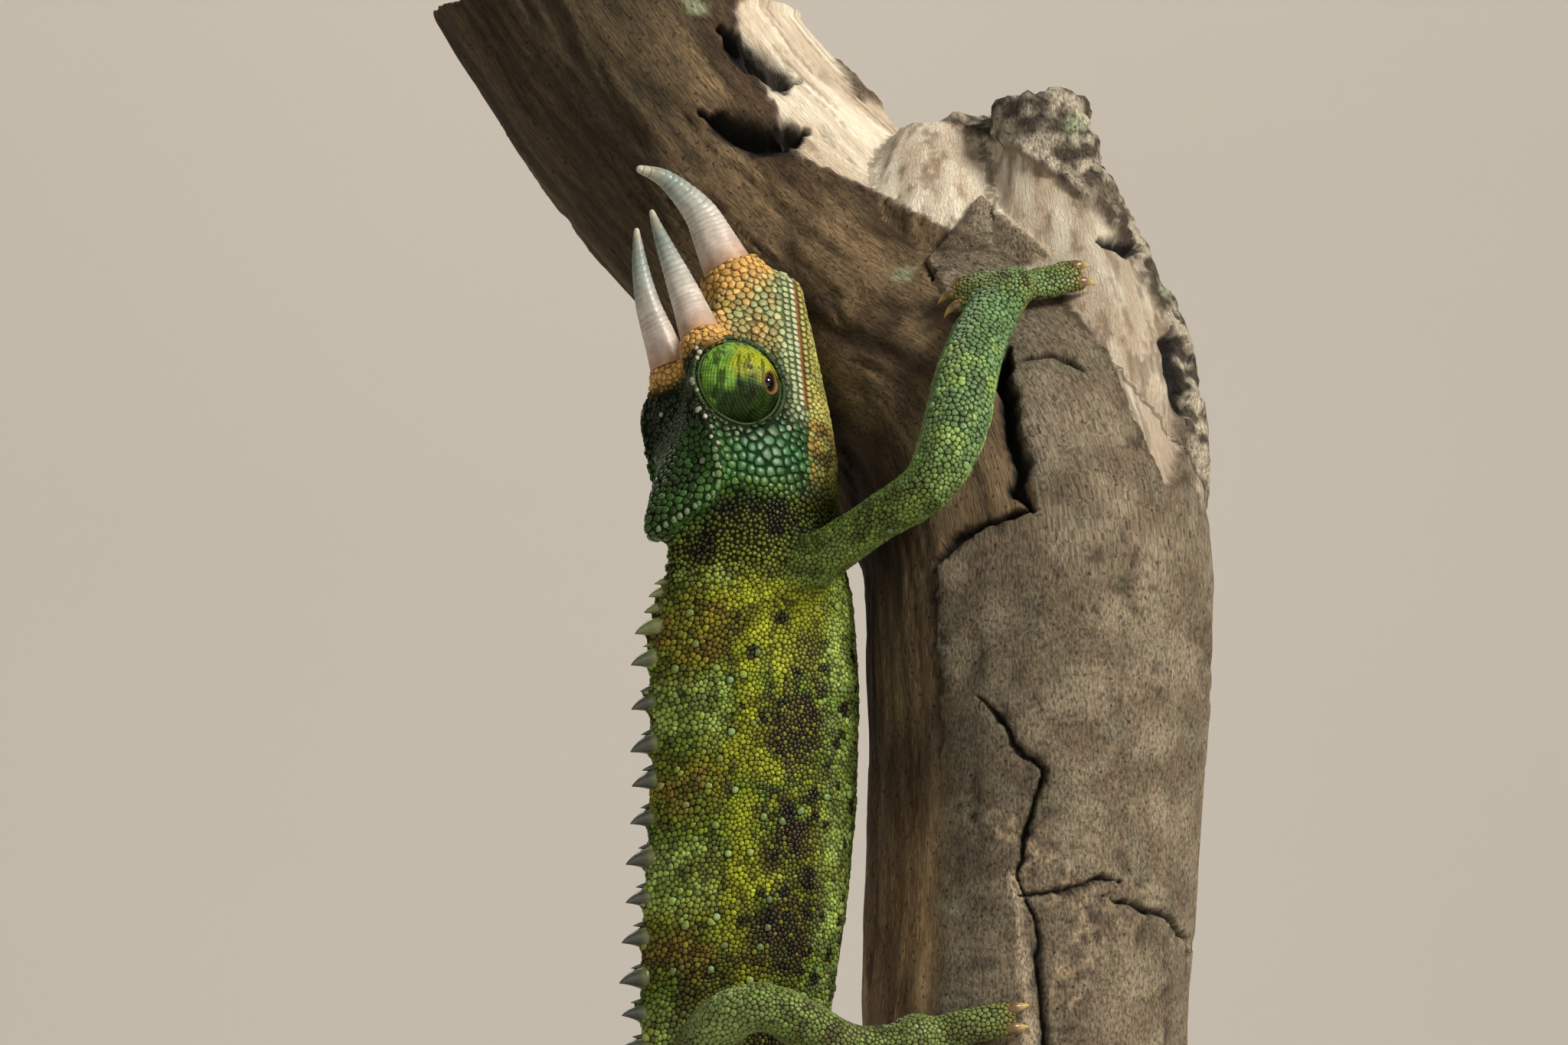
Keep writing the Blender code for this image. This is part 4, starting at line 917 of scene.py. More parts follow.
def arm_colour(place):
    p, limb = place["p"], place["limb"]
    broad, fore = clouds(p, 2.6, 81), ease(0.42, 0.6, limb)
    colour = over(
        PIGMENTS["arm_shade"],
        ("arm", np.clip(fore + ease(0.5, 0.7, broad) * 0.5, 0, 1)),
        ("mint", fore * ease(0.98, 0.8, limb) * ease(0.42, 0.7, broad) * 0.7),
        ("umber", ease(0.5, 0.6, clouds(p, 1.8, 83)) * (1 - 0.6 * fore) * 0.55),
    )
    return colour * (0.75 + 0.5 * clouds(p, 1.2, 84))[:, None]


def toe_share(p):
    """1 at a toe's end, fading out within three millimetres of it."""
    far = np.min([np.linalg.norm(p - end, axis=1) for end, _ in toe_ends], axis=0)
    return ease(3.6, 1.6, far + 2 * (clouds(p, 1.3, 89) - 0.5))


def hand_colour(place):
    p = place["p"]
    return over(
        PIGMENTS["hand"],
        ("arm", ease(0.4, 0.65, clouds(p, 2.2, 85)) * 0.6),
        ("umber", ease(0.54, 0.64, clouds(p, 1.5, 87)) * 0.7),
        (PIGMENTS["throat"] * 0.5, toe_share(p) * 0.7),
    )


def leg_colour(place):
    p, limb = place["p"], place["limb"]
    broad = clouds(p, 3.6, 91)
    return over(
        PIGMENTS["leg"],
        ("arm_shade", ease(0.5, 0.62, broad) * 0.7),
        ("leg_dark", ease(0.3, 0.05, limb) * ease(0.42, 0.55, broad) * 0.8),
        ("leg_dark", ease(0.55, 0.62, clouds(p, 1.7, 93)) * 0.6),
        (PIGMENTS["mint"] + 0.03, hill(limb, 0.42, 0.12) * 0.5),
    )


def foot_colour(place):
    p = place["p"]
    broad = clouds(p, 2.4, 95)
    colour = over(PIGMENTS["leg"], ("hand", ease(0.4, 0.6, broad))) * (0.75 + 0.5 * broad)[:, None]
    return over(colour, (PIGMENTS["throat"] * 0.5, toe_share(p) * 0.6))


# in the order of GROUPS
PAINTERS = (
    head_colour, neck_colour, torso_colour, tail_colour, arm_colour, hand_colour, leg_colour, foot_colour,
)  # fmt: skip


def markings(place):
    """The animal's colour at each spot: every region's paint, weighted by how far the spot is in it."""
    layers = np.stack([painter(place) for painter in PAINTERS], axis=1)
    weights = place["w"] / place["w"].sum(axis=1, keepdims=True)
    return (layers * weights[:, :, None]).sum(axis=1)


skin_colour = markings(spots)
print("mean marking", skin_colour.mean(0).round(3))

# %% [markdown]
# ## Where the beads of scale sit
#
# A chameleon's scales don't overlap like a snake's. They are separate beads, close together like
# cobbles, each bulging from a dark web of skin, larger on the cheek and the ridge of the back and
# finest on the hands. To scatter them as evenly as nature does, spots are drawn at random and one
# is kept only if it is far enough from those kept before it, so big ones go first. Particles
# could scatter them too, but the spacing here follows the animal's own measures.


# %% Spacing of the beads
def by_region(place, *values):
    """One value for each spot, from a value for each of GROUPS, weighted like the paint."""
    table = np.stack([np.broadcast_to(value, len(place["p"])) for value in values], 1)
    return (table * place["w"]).sum(1) / place["w"].sum(1)


def bead_pitch(place):
    """Width of the beads in mm at each spot."""
    forward, crown, side, back = (place[key] for key in ("forward", "crown", "side", "back"))
    cheek = hill(forward, -9.5, 4.6) * hill(crown, -4.0, 4.4) * ease(2, 5, side)
    casque = ease(-5, -12, forward) * ease(-1, 3, crown)
    head = 0.66 + 0.66 * cheek + 0.16 * ease(4, 9, forward) + 0.16 * casque
    head -= 0.12 * ease(MOUTH_LEVEL, MOUTH_LEVEL - 1, crown)
    torso = 0.46 + 0.14 * ease(4.6, 8.5, back) + 0.12 * ease(-9, -12, back)
    arm = 0.50 + 0.14 * ease(0.45, 0.65, place["limb"])
    leg = 0.50 + 0.1 * hill(place["limb"], 0.42, 0.12)
    return by_region(place, head, 0.50, torso, 0.54, arm, 0.44, leg, 0.48)


def scattered(points, faces, pitch, crowd, draw):
    """Random spots on four-cornered faces, `crowd` of them on each square one bead wide: the corners
    of the face that each lies on, and its shares of them."""
    a, b, c, d = (points[faces[:, k]] for k in range(4))
    area = 0.5 * np.linalg.norm(np.cross(c - a, d - b), axis=1)
    want = crowd * area / pitch[faces].mean(1) ** 2
    face = np.repeat(np.arange(len(faces)), np.floor(want + draw.random(len(want))).astype(int))
    draw.shuffle(face)
    u, v = draw.random((2, len(face)))
    shares = np.stack([(1 - u) * (1 - v), u * (1 - v), u * v, (1 - u) * v], 1)
    return faces[face], shares


def spaced_out(spots, widths, fixed):
    """The spots kept in order, when each is at least the mean of two widths from all kept before it.
    The first `fixed` spots are kept in any case."""
    cell, row = 1.5, 1024
    x, y, z = np.floor(spots / cell).astype(np.int64).T + row // 2
    keys = (x * row + y) * row + z
    around = [((i - 1) * row + j - 1) * row + k - 1 for i, j, k in np.ndindex(3, 3, 3)]
    grid, kept = {}, []

    def crowded(key, x, y, z, width):
        for step in around:
            for a, b, c, other in grid.get(key + step, ()):
                if (a - x) ** 2 + (b - y) ** 2 + (c - z) ** 2 < 0.25 * (width + other) ** 2:
                    return True
        return False

    for number, (key, spot, width) in enumerate(zip(keys.tolist(), spots.tolist(), widths.tolist())):
        if number < fixed or not crowded(key, *spot, width):
            kept.append(number)
            grid.setdefault(key, []).append((*spot, width))
    return np.array(kept)


skin_tree = BVHTree.FromPolygons(skin_points.tolist(), skin_faces.tolist())


def onto_skin(starts, heading):
    """Where rays from the starts meet the skin, and the skin's own direction there."""
    heading = np.broadcast_to(heading, np.shape(starts))
    hits = [skin_tree.ray_cast(s, h) for s, h in zip(starts.tolist(), heading.tolist())]
    found = [(np.array(hit[0]), np.array(hit[1])) for hit in hits if hit[0] is not None]
    return np.array([f[0] for f in found]), np.array([f[1] for f in found])


# %% [markdown]
# ## The beads that have a place of their own
#
# Some scales are landmarks: two rows of oblong plates over the mouth line, a finer row under it,
# a dotted line of pale knobs along the flank, and knobs on the crest behind the eye. These are
# placed first by the head's and body's measures. Each is an oval given by its two half widths.

# %% Lip plates, crest knobs and the flank's pale row
chosen = {"spot": [], "normal": [], "half": [], "height": [], "tint": []}


def choose(spots, normals, half, height, tint):
    """Adds planned scales: their half widths along and across, their height, and a colour to lean to."""
    count = len(spots)
    chosen["spot"].append(spots)
    chosen["normal"].append(normals)
    chosen["half"].append(np.broadcast_to(half, (count, 2)))
    chosen["height"].append(np.broadcast_to(height, (count,)))
    chosen["tint"].append(np.broadcast_to(tint, (count, 3)))


LIP_FORWARD = np.arange(-1.6, 18.4, 0.92)
# rows along the mouth: height over it, half width across, colour
LIP_ROWS = (
    (0.72, 0.50, paint(182, 188, 156)), (1.76, 0.50, paint(150, 160, 118)),
    (-0.60, 0.38, paint(156, 146, 82)),
)  # fmt: skip
CREST_FORWARD = np.arange(-14.0, 4.0, 1.15)
CREST_LINE = ((-14.0, 3.8), (-9.0, 5.0), (-4.0, 6.3), (0.0, 6.9), (3.6, 6.2))
CHEEK_KNOBS = np.array([[-1.0, -7.4], [-2.6, -7.9], [-3.8, -8.3], [0.6, -7.6], [-8.2, 1.0], [-5.9, -6.3]])
PALE_ROW = np.array([21.5, 28.0, 35.6, 43.8, 52.0, 58.5, 66.0])
BESIDE_HEAD, BESIDE_BODY, OFF_CASQUE = 14.0, 16.0, 5.0
# the share along the casque's free edge, forward, crown, side
CASQUE_EDGE = ((0, -11.0, 3.9, 7.5), (0.35, -15.6, 3.3, 7.6), (0.7, -18.6, 6.2, 5.0), (1.0, -20.4, 8.8, 1.4))


def choose_beside_head(hand, forward, crown, half, height, tint):
    """Planned scales where rays from the side of the head meet it."""
    hits = onto_skin(in_head(forward, crown, hand * BESIDE_HEAD), -hand * RIGHT)
    choose(*hits, half, height, tint)


for hand in (1, -1):
    for rise, half_across, tint in LIP_ROWS:
        choose_beside_head(hand, LIP_FORWARD, MOUTH_LEVEL + rise, (0.43, half_across), 0.24, tint)
    crest = np.column_stack([CREST_FORWARD, smooth_keys(CREST_LINE, CREST_FORWARD)])
    crest += dice.normal(0, 0.42, crest.shape)
    crest_hits = onto_skin(in_head(*crest.T, hand * BESIDE_HEAD), -hand * RIGHT)
    crest_half = dice.uniform(0.28, 0.56, (len(crest_hits[0]), 1)) * [1.0, 0.8]
    choose(*crest_hits, crest_half, 0.30, paint(178, 170, 156))
    choose_beside_head(hand, *CHEEK_KNOBS.T, (0.48, 0.42), 0.36, paint(158, 168, 150))
    centre, back, aside, *_ = body_at(PALE_ROW)
    starts = centre + back * (4.4 + 0.5 * np.sin(PALE_ROW))[:, None] + hand * aside * BESIDE_BODY
    choose(*onto_skin(starts, -hand * BODY_RIGHT), (0.52, 0.50), 0.42, paint(140, 168, 116))

# The casque's free edge: knobs side by side round the rear of the helmet.
edge_share = np.linspace(0, 1, 15) + dice.uniform(-0.02, 0.02, 15)
edge_forward, edge_crown, edge_side = smooth_keys(CASQUE_EDGE, edge_share).T
for hand in (1, -1):
    outward = unit(np.stack([-0.5 * edge_share, 0.25 + 0 * edge_share, hand * (1.1 - edge_share)], 1))
    heading = outward @ np.stack([FORWARD, CROWN, RIGHT])
    starts = in_head(edge_forward, edge_crown, hand * edge_side) + heading * OFF_CASQUE
    choose(*onto_skin(starts, -heading), (0.54, 0.44), 0.36, paint(104, 124, 84))

planned = {key: np.concatenate(rows) for key, rows in chosen.items()}
planned["half"] = planned["half"] * dice.uniform(0.82, 1.08, (len(planned["half"]), 1))
print("planned scales", len(planned["spot"]))

# %% [markdown]
# ## Filling the rest
#
# Between the landmarks come the scattered pale knobs that stand out on the flank and forearm, and
# then the ordinary beads down to the smallest. Beads leave the slit of the mouth, the eye's cone
# and the spines free, because something else grows there.

# %% All places of the beads
KNOB_PITCH, KNOB_CROWD, BEAD_CROWD = 2.9, 3.0, 5.5
knob_pitch = np.full(len(skin_points), KNOB_PITCH)
skin_pitch = bead_pitch(spots)
knob_corner, knob_share = scattered(skin_points, skin_faces, knob_pitch, KNOB_CROWD, dice)
bead_corner, bead_share = scattered(skin_points, skin_faces, skin_pitch, BEAD_CROWD, dice)


def blended(values, corner, share):
    """Values of the skin's points mixed at spots inside its faces."""
    return np.einsum("ij,ij...->i...", share, values[corner])


knob_spots = blended(skin_points, knob_corner, knob_share)
knob_weight = blended(skin_weights, knob_corner, knob_share)
# knobs are for the torso, and fewer for the tail, arms and legs
knob_where = knob_weight[:, [2, 3, 4, 6]] @ [1.0, 0.4, 0.35, 0.4]
knob_keep = spaced_out(knob_spots, np.full(len(knob_spots), KNOB_PITCH), 0)
knob_keep = knob_keep[dice.random(len(knob_keep)) < 0.34 * knob_where[knob_keep]]

planned_count, knob_count = len(planned["spot"]), len(knob_keep)
knob_width = 0.68 + 0.26 * dice.random(knob_count)
bead_width = blended(skin_pitch, bead_corner, bead_share) * dice.uniform(0.76, 1.14, len(bead_corner))
every_width = np.concatenate([2 * planned["half"].mean(1) * 0.94, knob_width, bead_width])


def for_every(of_planned, values):
    """Values at the planned scales, the knobs and the beads, the last two from the skin's points."""
    at_knobs = blended(values, knob_corner[knob_keep], knob_share[knob_keep])
    return np.concatenate([of_planned, at_knobs, blended(values, bead_corner, bead_share)])


every_spot = for_every(planned["spot"], skin_points)
keep = spaced_out(every_spot, every_width, planned_count + knob_count)
print("spots drawn", len(every_spot), "kept", len(keep))

planned_weight = skin_weights[nearest_sample(planned["spot"], skin_points)]
bead_spot, bead_width = every_spot[keep], every_width[keep]
bead_weight = for_every(planned_weight, skin_weights)[keep]
bead_normal = unit(for_every(planned["normal"], skin_normals)[keep])
kind = np.repeat([2, 1, 0], [planned_count, knob_count, len(bead_corner)])[keep]
bead_place = measures(bead_spot, bead_weight)

on_spine = bead_place["back"] > bead_place["reach"] + 0.15
on_body = bead_weight[:, 1:4].sum(1) > 0.6
in_mouth = (np.abs(bead_place["crown"] - MOUTH_LEVEL) < 0.22) & (bead_place["forward"] > -2.5)
in_mouth &= bead_weight[:, 0] > 0.6
eye_far = np.min([np.linalg.norm(bead_spot - eye_centre(hand), axis=1) for hand in (1, -1)], axis=0)
grows = ~(on_spine & on_body) & ~in_mouth & (eye_far > EYE_RADIUS + 0.15)
for end, heading in toe_ends:
    ahead = (bead_spot - end) @ heading
    apart = np.linalg.norm(bead_spot - end - ahead[:, None] * heading, axis=1)
    grows &= ~((ahead > -0.8) & (ahead < 2.8) & (apart < 0.5))
grows |= kind == 2
print("beads that grow", int(grows.sum()))

# %% [markdown]
# ## Each bead's outline and dome
#
# Cobbles take their outline from their neighbours, and so do these beads. In seven directions the
# edge stops half way to whichever neighbour leans that way, which gives five- to seven-cornered
# cells with an even dark seam between. A dome of three rings rises from that edge: tall and
# round on the neck, low and flat like a tile on the cheek, leaning a little towards the tail.

# %% Outlines by neighbours, domes in rings
SIDES = 7
SEAM = 0.985
SINK = 0.14
# share of the outline's width and of the height, from the sunk foot to the last ring below the top
DOME = ((1.0, None), (0.92, 0.66), (0.68, 0.96))
OVAL_POWER = 2.6


def neighbour_outline(spots, normals, widths, lie, most):
    """Edge distances of shape (spots, SIDES): for each direction the least over the neighbours of
    half their distance, shared by the two widths, over the cosine to that direction, and no more
    than `most` widths."""
    tree = kd_of(spots)
    near = np.array([[found[1] for found in tree.find_n(spot, 12)] for spot in spots.tolist()])[:, 1:]
    across = np.cross(normals, lie)
    off = spots[near] - spots[:, None]
    x = np.einsum("nkj,nj->nk", off, lie)
    y = np.einsum("nkj,nj->nk", off, across)
    far = np.maximum(np.hypot(x, y), 1e-3)
    share = widths[:, None] / (widths[:, None] + widths[near])
    angle = angles_of(SIDES) + 0.3
    lean = (x[..., None] * np.cos(angle) + y[..., None] * np.sin(angle)) / far[..., None]
    edge = np.where(lean > 0.25, (far * share)[..., None] / np.maximum(lean, 0.25), 9.0).min(axis=1)
    return np.clip(edge * SEAM, 0.30 * widths[:, None], most[:, None] * widths[:, None]), angle, across


def relief_of(place):
    """Height of a bead as a share of its width, region by region."""
    cheek = hill(place["forward"], -9.5, 5.5) * hill(place["crown"], -4.0, 5.0)
    return by_region(place, 0.34 - 0.19 * cheek, 0.46, 0.38, 0.30, 0.36, 0.32, 0.34, 0.32)


bead_spot, bead_normal, bead_width = bead_spot[grows], bead_normal[grows], bead_width[grows]
bead_place = {key: value[grows] for key, value in bead_place.items()}
kind = kind[grows]
chosen_here = keep[grows]
head_share = bead_place["w"][:, :1] / bead_place["w"].sum(1, keepdims=True)
lie = bead_place["along"] * (1 - head_share) - FORWARD * head_share
lie = unit(lie - np.einsum("ij,ij->i", lie, bead_normal)[:, None] * bead_normal)
most = 0.92 - 0.36 * bead_place["w"][:, 1] / bead_place["w"].sum(1)
edge, angle, across = neighbour_outline(bead_spot, bead_normal, bead_width, lie, most)
height = bead_width * relief_of(bead_place) * dice.uniform(0.8, 1.2, len(bead_width))

is_planned = kind == 2
half = planned["half"][chosen_here[is_planned]]
oval = np.abs(np.cos(angle) / half[:, :1]) ** OVAL_POWER + np.abs(np.sin(angle) / half[:, 1:]) ** OVAL_POWER
oval = 1 / oval ** (1 / OVAL_POWER)
edge[is_planned] = np.minimum(oval, np.maximum(edge[is_planned], oval * 0.9))
height[is_planned] = planned["height"][chosen_here[is_planned]]
height[kind == 1] = bead_width[kind == 1] * 0.44

bead_colour = markings(bead_place)
bead_colour = bead_colour * np.clip(dice.normal(1.0, 0.17, len(bead_colour)), 0.6, 1.5)[:, None]
odd = dice.random(len(bead_colour)) * bead_place["w"].sum(1) / np.maximum(bead_place["w"][:, 2], 0.01)
odd_yellow = (odd > 0.10) & (odd < 0.20)
bead_colour = over(bead_colour, ("umber", (odd < 0.10) * 0.6), ("yellow_green", odd_yellow * 0.28))
lean_to = np.zeros_like(bead_colour)
lean_to[kind == 1] = paint(132, 160, 104)
lean_to[is_planned] = planned["tint"][chosen_here[is_planned]]
lean_share = np.where(is_planned, dice.uniform(0.35, 0.85, len(kind)), np.where(kind == 1, 0.30, 0.0))
bead_colour = mix(bead_colour, lean_to, lean_share)

out = lie[:, None] * np.cos(angle)[None, :, None] + across[:, None] * np.sin(angle)[None, :, None]
rings = []
for share, lift in DOME:
    up = -SINK if lift is None else height * lift
    ring = bead_spot[:, None] + out * (edge * share)[..., None]
    ring = ring + (bead_normal * np.broadcast_to(up, height.shape)[:, None])[:, None]
    shift = 0.0 if lift is None else 0.10 * lift * bead_width
    rings.append(ring + (lie * np.broadcast_to(shift, height.shape)[:, None])[:, None])
top = bead_spot + bead_normal * height[:, None] + lie * (0.11 * bead_width)[:, None]
bead_points = np.concatenate(rings + [top[:, None]], axis=1)
RINGS = len(DOME)
per_bead = RINGS * SIDES + 1
k = np.arange(SIDES)
n = (k + 1) % SIDES
feet = np.arange(RINGS - 1) * SIDES
bead_faces = [np.stack([k, n, n + SIDES], 1) + foot for foot in feet]
bead_faces += [np.stack([k, n + SIDES, k + SIDES], 1) + foot for foot in feet]
last = (RINGS - 1) * SIDES
bead_faces.append(np.stack([k + last, n + last, np.full(SIDES, per_bead - 1)], 1))
bead_faces.append(np.array([[0, j + 1, j] for j in range(1, SIDES - 1)]))
bead_faces = np.concatenate(bead_faces)
print("beads", len(bead_spot), "faces on each", len(bead_faces))

# %% [markdown]
# ## A flat map of the skin
#
# The exported model stores colour as an image, so each bead needs a patch of its own on a flat
# map. The skin is unrolled like a label from a bottle: the angle round the bone goes across and
# the distance along it goes up, and each bead takes a small patch at its root.

# %% Unrolled places of the beads
PATCH = 0.003


def unrolled(place, region):
    """Across and up, 0 to 1: the angle round the head, back bone or limb, and the share along it."""
    if region == "head":
        turn = np.arctan2(place["right"], place["crown"])
        along = place["forward"]
    elif region in ("neck", "torso", "tail"):
        turn = np.arctan2(place["aside"], place["back"])
        along = place["arc"]
    else:
        paths = [path for _, path in limb_samples.values()]
        samples, owner = np.concatenate(paths), np.repeat(np.arange(4), [len(path) for path in paths])
        near = nearest_sample(place["p"], samples[:, :3])
        off = place["p"] - samples[near, :3]
        turn = (np.arctan2(off[:, 0] + off[:, 2], off[:, 1]) + math.pi) / 4 + owner[near] * math.pi / 2
        turn = turn - math.pi
        along = place["limb"] + 0.002 * off[:, 2]
    low, high = along.min(), along.max()
    return np.column_stack([turn / (2 * math.pi) + 0.5, (along - low) / (high - low)]) * 0.98 + 0.01


REGION_OF = ("head", "neck", "torso", "tail", "limb", "limb", "limb", "limb")
bead_group = bead_place["w"].argmax(1)
print({name: int((bead_group == i).sum()) for i, name in enumerate(GROUPS)})

# %% [markdown]
# ## The skin's finish
#
# Fresh scale is satin, not wet: each bead shows one soft highlight. The colour comes from the
# markings, with a fine grain of pigment over it, and a little roughness change so that no two
# highlights match. The web between the beads is the same pigment, much darker.


# %% Scale material
def shader_of(name, roughness, specular=0.5):
    """A new material and its shader, its node tree, with plain numbers on the shader's own sockets."""
    material = bpy.data.materials.new(name)
    material.use_nodes = True
    tree = material.node_tree
    shader = tree.nodes["Principled BSDF"]
    shader.inputs["Roughness"].default_value = roughness
    shader.inputs["Specular IOR Level"].default_value = specular
    return material, shader, tree


def object_noise(tree, scale, detail=4.0, stretch=(1, 1, 1)):
    """Noise over the object's own coordinates, in cycles a metre, stretched along the axes."""
    place = tree.nodes.new("ShaderNodeTexCoord")
    mapping = tree.nodes.new("ShaderNodeMapping")
    mapping.inputs["Scale"].default_value = stretch
    noise = tree.nodes.new("ShaderNodeTexNoise")
    noise.inputs["Scale"].default_value = scale
    noise.inputs["Detail"].default_value = detail
    tree.links.new(place.outputs["Object"], mapping.inputs["Vector"])
    tree.links.new(mapping.outputs["Vector"], noise.inputs["Vector"])
    return noise.outputs["Fac"]


def ranged(tree, value, low, high, source_low=0.3, source_high=0.7):
    """The value's range from source_low to source_high, carried over to that from low to high."""
    node = tree.nodes.new("ShaderNodeMapRange")
    limits = {"From Min": source_low, "From Max": source_high, "To Min": low, "To Max": high}
    for socket, number in limits.items():
        node.inputs[socket].default_value = number
    tree.links.new(value, node.inputs["Value"])
    return node.outputs["Result"]


def bumped(tree, shader, height, distance, strength=1.0):
    bump = tree.nodes.new("ShaderNodeBump")
    bump.inputs["Distance"].default_value = distance
    bump.inputs["Strength"].default_value = strength
    tree.links.new(height, bump.inputs["Height"])
    tree.links.new(bump.outputs["Normal"], shader.inputs["Normal"])


def stored_value(tree, name, output="Fac"):
    """A value that the piece's points carry."""
    node = tree.nodes.new("ShaderNodeAttribute")
    node.attribute_name = name
    return node.outputs[output]


def coloured(tree, shader, factor):
    """Base colour: the piece's own marking times a factor."""
    scaled = tree.nodes.new("ShaderNodeVectorMath")
    scaled.operation = "SCALE"
    tree.links.new(stored_value(tree, "marking", "Color"), scaled.inputs["Vector"])
    tree.links.new(factor, scaled.inputs["Scale"])
    tree.links.new(scaled.outputs["Vector"], shader.inputs["Base Color"])


def marked_finish(name, roughness, specular, grain, uneven=None, relief=None, coat=None):
    """A finish in the piece's own marking. `grain` is the least and most of the pigment's grain and
    its noise, `uneven` the same of the roughness, `relief` the bump's depth in metres, strength and
    noise, and `coat` the clear coat's weight and roughness."""
    material, shader, tree = shader_of(name, roughness, specular)
    coloured(tree, shader, ranged(tree, object_noise(tree, grain[2]), *grain[:2]))
    if uneven:
        tree.links.new(ranged(tree, object_noise(tree, uneven[2]), *uneven[:2]), shader.inputs["Roughness"])
    if relief:
        bumped(tree, shader, object_noise(tree, *relief[2:]), *relief[:2])
    if coat:
        shader.inputs["Coat Weight"].default_value, shader.inputs["Coat Roughness"].default_value = coat
    return material


def two_tone(tree, shader, value, first, second, low=0.0, high=1.0):
    """Base colour: from the first colour to the second as the value goes from low to high."""
    ramp = tree.nodes.new("ShaderNodeValToRGB")
    for stop, place, colour in zip(ramp.color_ramp.elements, (low, high), (first, second)):
        stop.position, stop.color = place, (*colour, 1)
    tree.links.new(value, ramp.inputs["Fac"])
    tree.links.new(ramp.outputs["Color"], shader.inputs["Base Color"])


scale_finish = marked_finish(
    "satin_scale", 0.42, 0.22, (0.82, 1.2, 3800), (0.28, 0.44, 900), (0.00004, 0.6, 5200, 2.0)
)
web_finish = marked_finish(
    "skin_between_scales", 0.8, 0.12, (0.8, 1.2, 2600), relief=(0.0001, 0.8, 3200)
)

# the web's share of the marking: on the body, less of it on the neck, more of it on the collars
SKIN_WEB, NECK_WEB, COLLAR_WEB = 0.26, 0.14, 0.45
web_share = SKIN_WEB - NECK_WEB * skin_weights[:, 1] + COLLAR_WEB * near_collar(spots)
gum = hill(spots["crown"], MOUTH_LEVEL, 0.2) * ease(-2.5, -1, spots["forward"]) * skin_weights[:, 0]
web_colour = mix(skin_colour * web_share[:, None], paint(140, 82, 50), gum)
piece("skin", skin_points, skin_faces, web_finish, "skin", FLESH, web_colour)

LARGEST = 190000 // len(bead_faces)
# painted shade at each bead's sunk foot, region by region
WEB_SHADE = {"head": 0.26, "neck": 0.22, "torso": 0.22, "tail": 0.3, "limb": 0.34}
for region, web_shade in WEB_SHADE.items():
    members = np.flatnonzero(np.array([REGION_OF[group] == region for group in bead_group]))
    flat = unrolled({key: value[members] for key, value in bead_place.items()}, region)
    in_order = np.argsort(flat[:, 1])
    parts = max(1, math.ceil(len(members) / LARGEST))
    reach = np.append(np.repeat([share for share, _ in DOME], SIDES), 0.0) * PATCH / 2
    wheel = np.append(np.tile(angle, RINGS), 0.0)
    star = np.column_stack([np.cos(wheel), np.sin(wheel)]) * reach[:, None]
    # painted shade and light on each bead: its foot ring darkened to WEB_SHADE, its top a little lighter
    ring_shade = np.append(np.repeat([web_shade, 0.94, 1.02], SIDES), 1.06)
    for part in range(parts):
        pick = in_order[part * len(members) // parts : (part + 1) * len(members) // parts]
        here = members[pick]
        triangles = (np.arange(len(here))[:, None, None] * per_bead + bead_faces).reshape(-1, 3)
        colours = (bead_colour[here][:, None] * ring_shade[None, :, None]).reshape(-1, 3)
        coat_map = (flat[pick][:, None] + star[None]).reshape(-1, 2)
        points = bead_points[here].reshape(-1, 3)
        piece(f"scales_{region}_{part + 1}", points, triangles, scale_finish, "skin", (), colours, coat_map)

# %% [markdown]
# ## The eyes
#
# A chameleon's lids are fused into a cone with a pinhole at its tip, and the cone turns with the
# eye. It is a profile turned about the line of sight. Its scales run in rings like the threads of
# a basket, each ring half a bead out of step with the last, so the relief is a product of two
# rounded waves, one along the profile and one round the ring. The bead of the eye sits in the hole.

# %% Turrets of the eyes
GAZES = {1: (-0.13, -0.52, 0.84), -1: (0.42, -0.10, 0.90)}
LID_PROFILE = (
    (-0.90, 0.44), (-0.70, 0.71), (-0.35, 0.93), (0.0, 1.0), (0.25, 0.965), (0.46, 0.875), (0.66, 0.73),
    (0.83, 0.55), (0.94, 0.385), (0.99, 0.28), (1.0, 0.235), (0.98, 0.205), (0.92, 0.19), (0.82, 0.185),
)  # fmt: skip
LID_RING, LID_ROUND, LID_RELIEF, LID_ROWS, LID_COLUMNS = 0.46, 0.50, 0.12, 130, 264
# the lids' folds on the head: radius, rise off the eye's plane, thickness, colour
FOLDS = {"rim": (5.66, 1.5, 0.22, paint(46, 60, 26)), "fold": (6.30, 1.25, 0.40, paint(40, 56, 24))}
FOLD_BEADS = 76
lid_finish = marked_finish(
    "lid_scale", 0.46, 0.12, (0.85, 1.15, 4200), (0.38, 0.55, 1200), (0.00003, 0.5, 6000, 2.0)
)
wet_finish = marked_finish("wet_eye", 0.10, 0.4, (0.9, 1.1, 2600), coat=(0.3, 0.03))

lid_keys = np.array(LID_PROFILE) * EYE_RADIUS
lid_arc = run_lengths(lid_keys)
lid_along = np.linspace(0, lid_arc[-1], LID_ROWS)
lid_ahead, lid_radius = smooth_keys(np.column_stack([lid_arc, lid_keys]), lid_along).T
hole_rim, hole_edge, hole_wall = lid_arc[[9, 11, 12]]
lid_angle = angles_of(LID_COLUMNS)


def round_wave(x):
    """A row of rounded beads of height 1 and pitch 1, with narrow dips between them."""
    return 1 - np.abs(2 * (x - np.floor(x)) - 1) ** 2.4


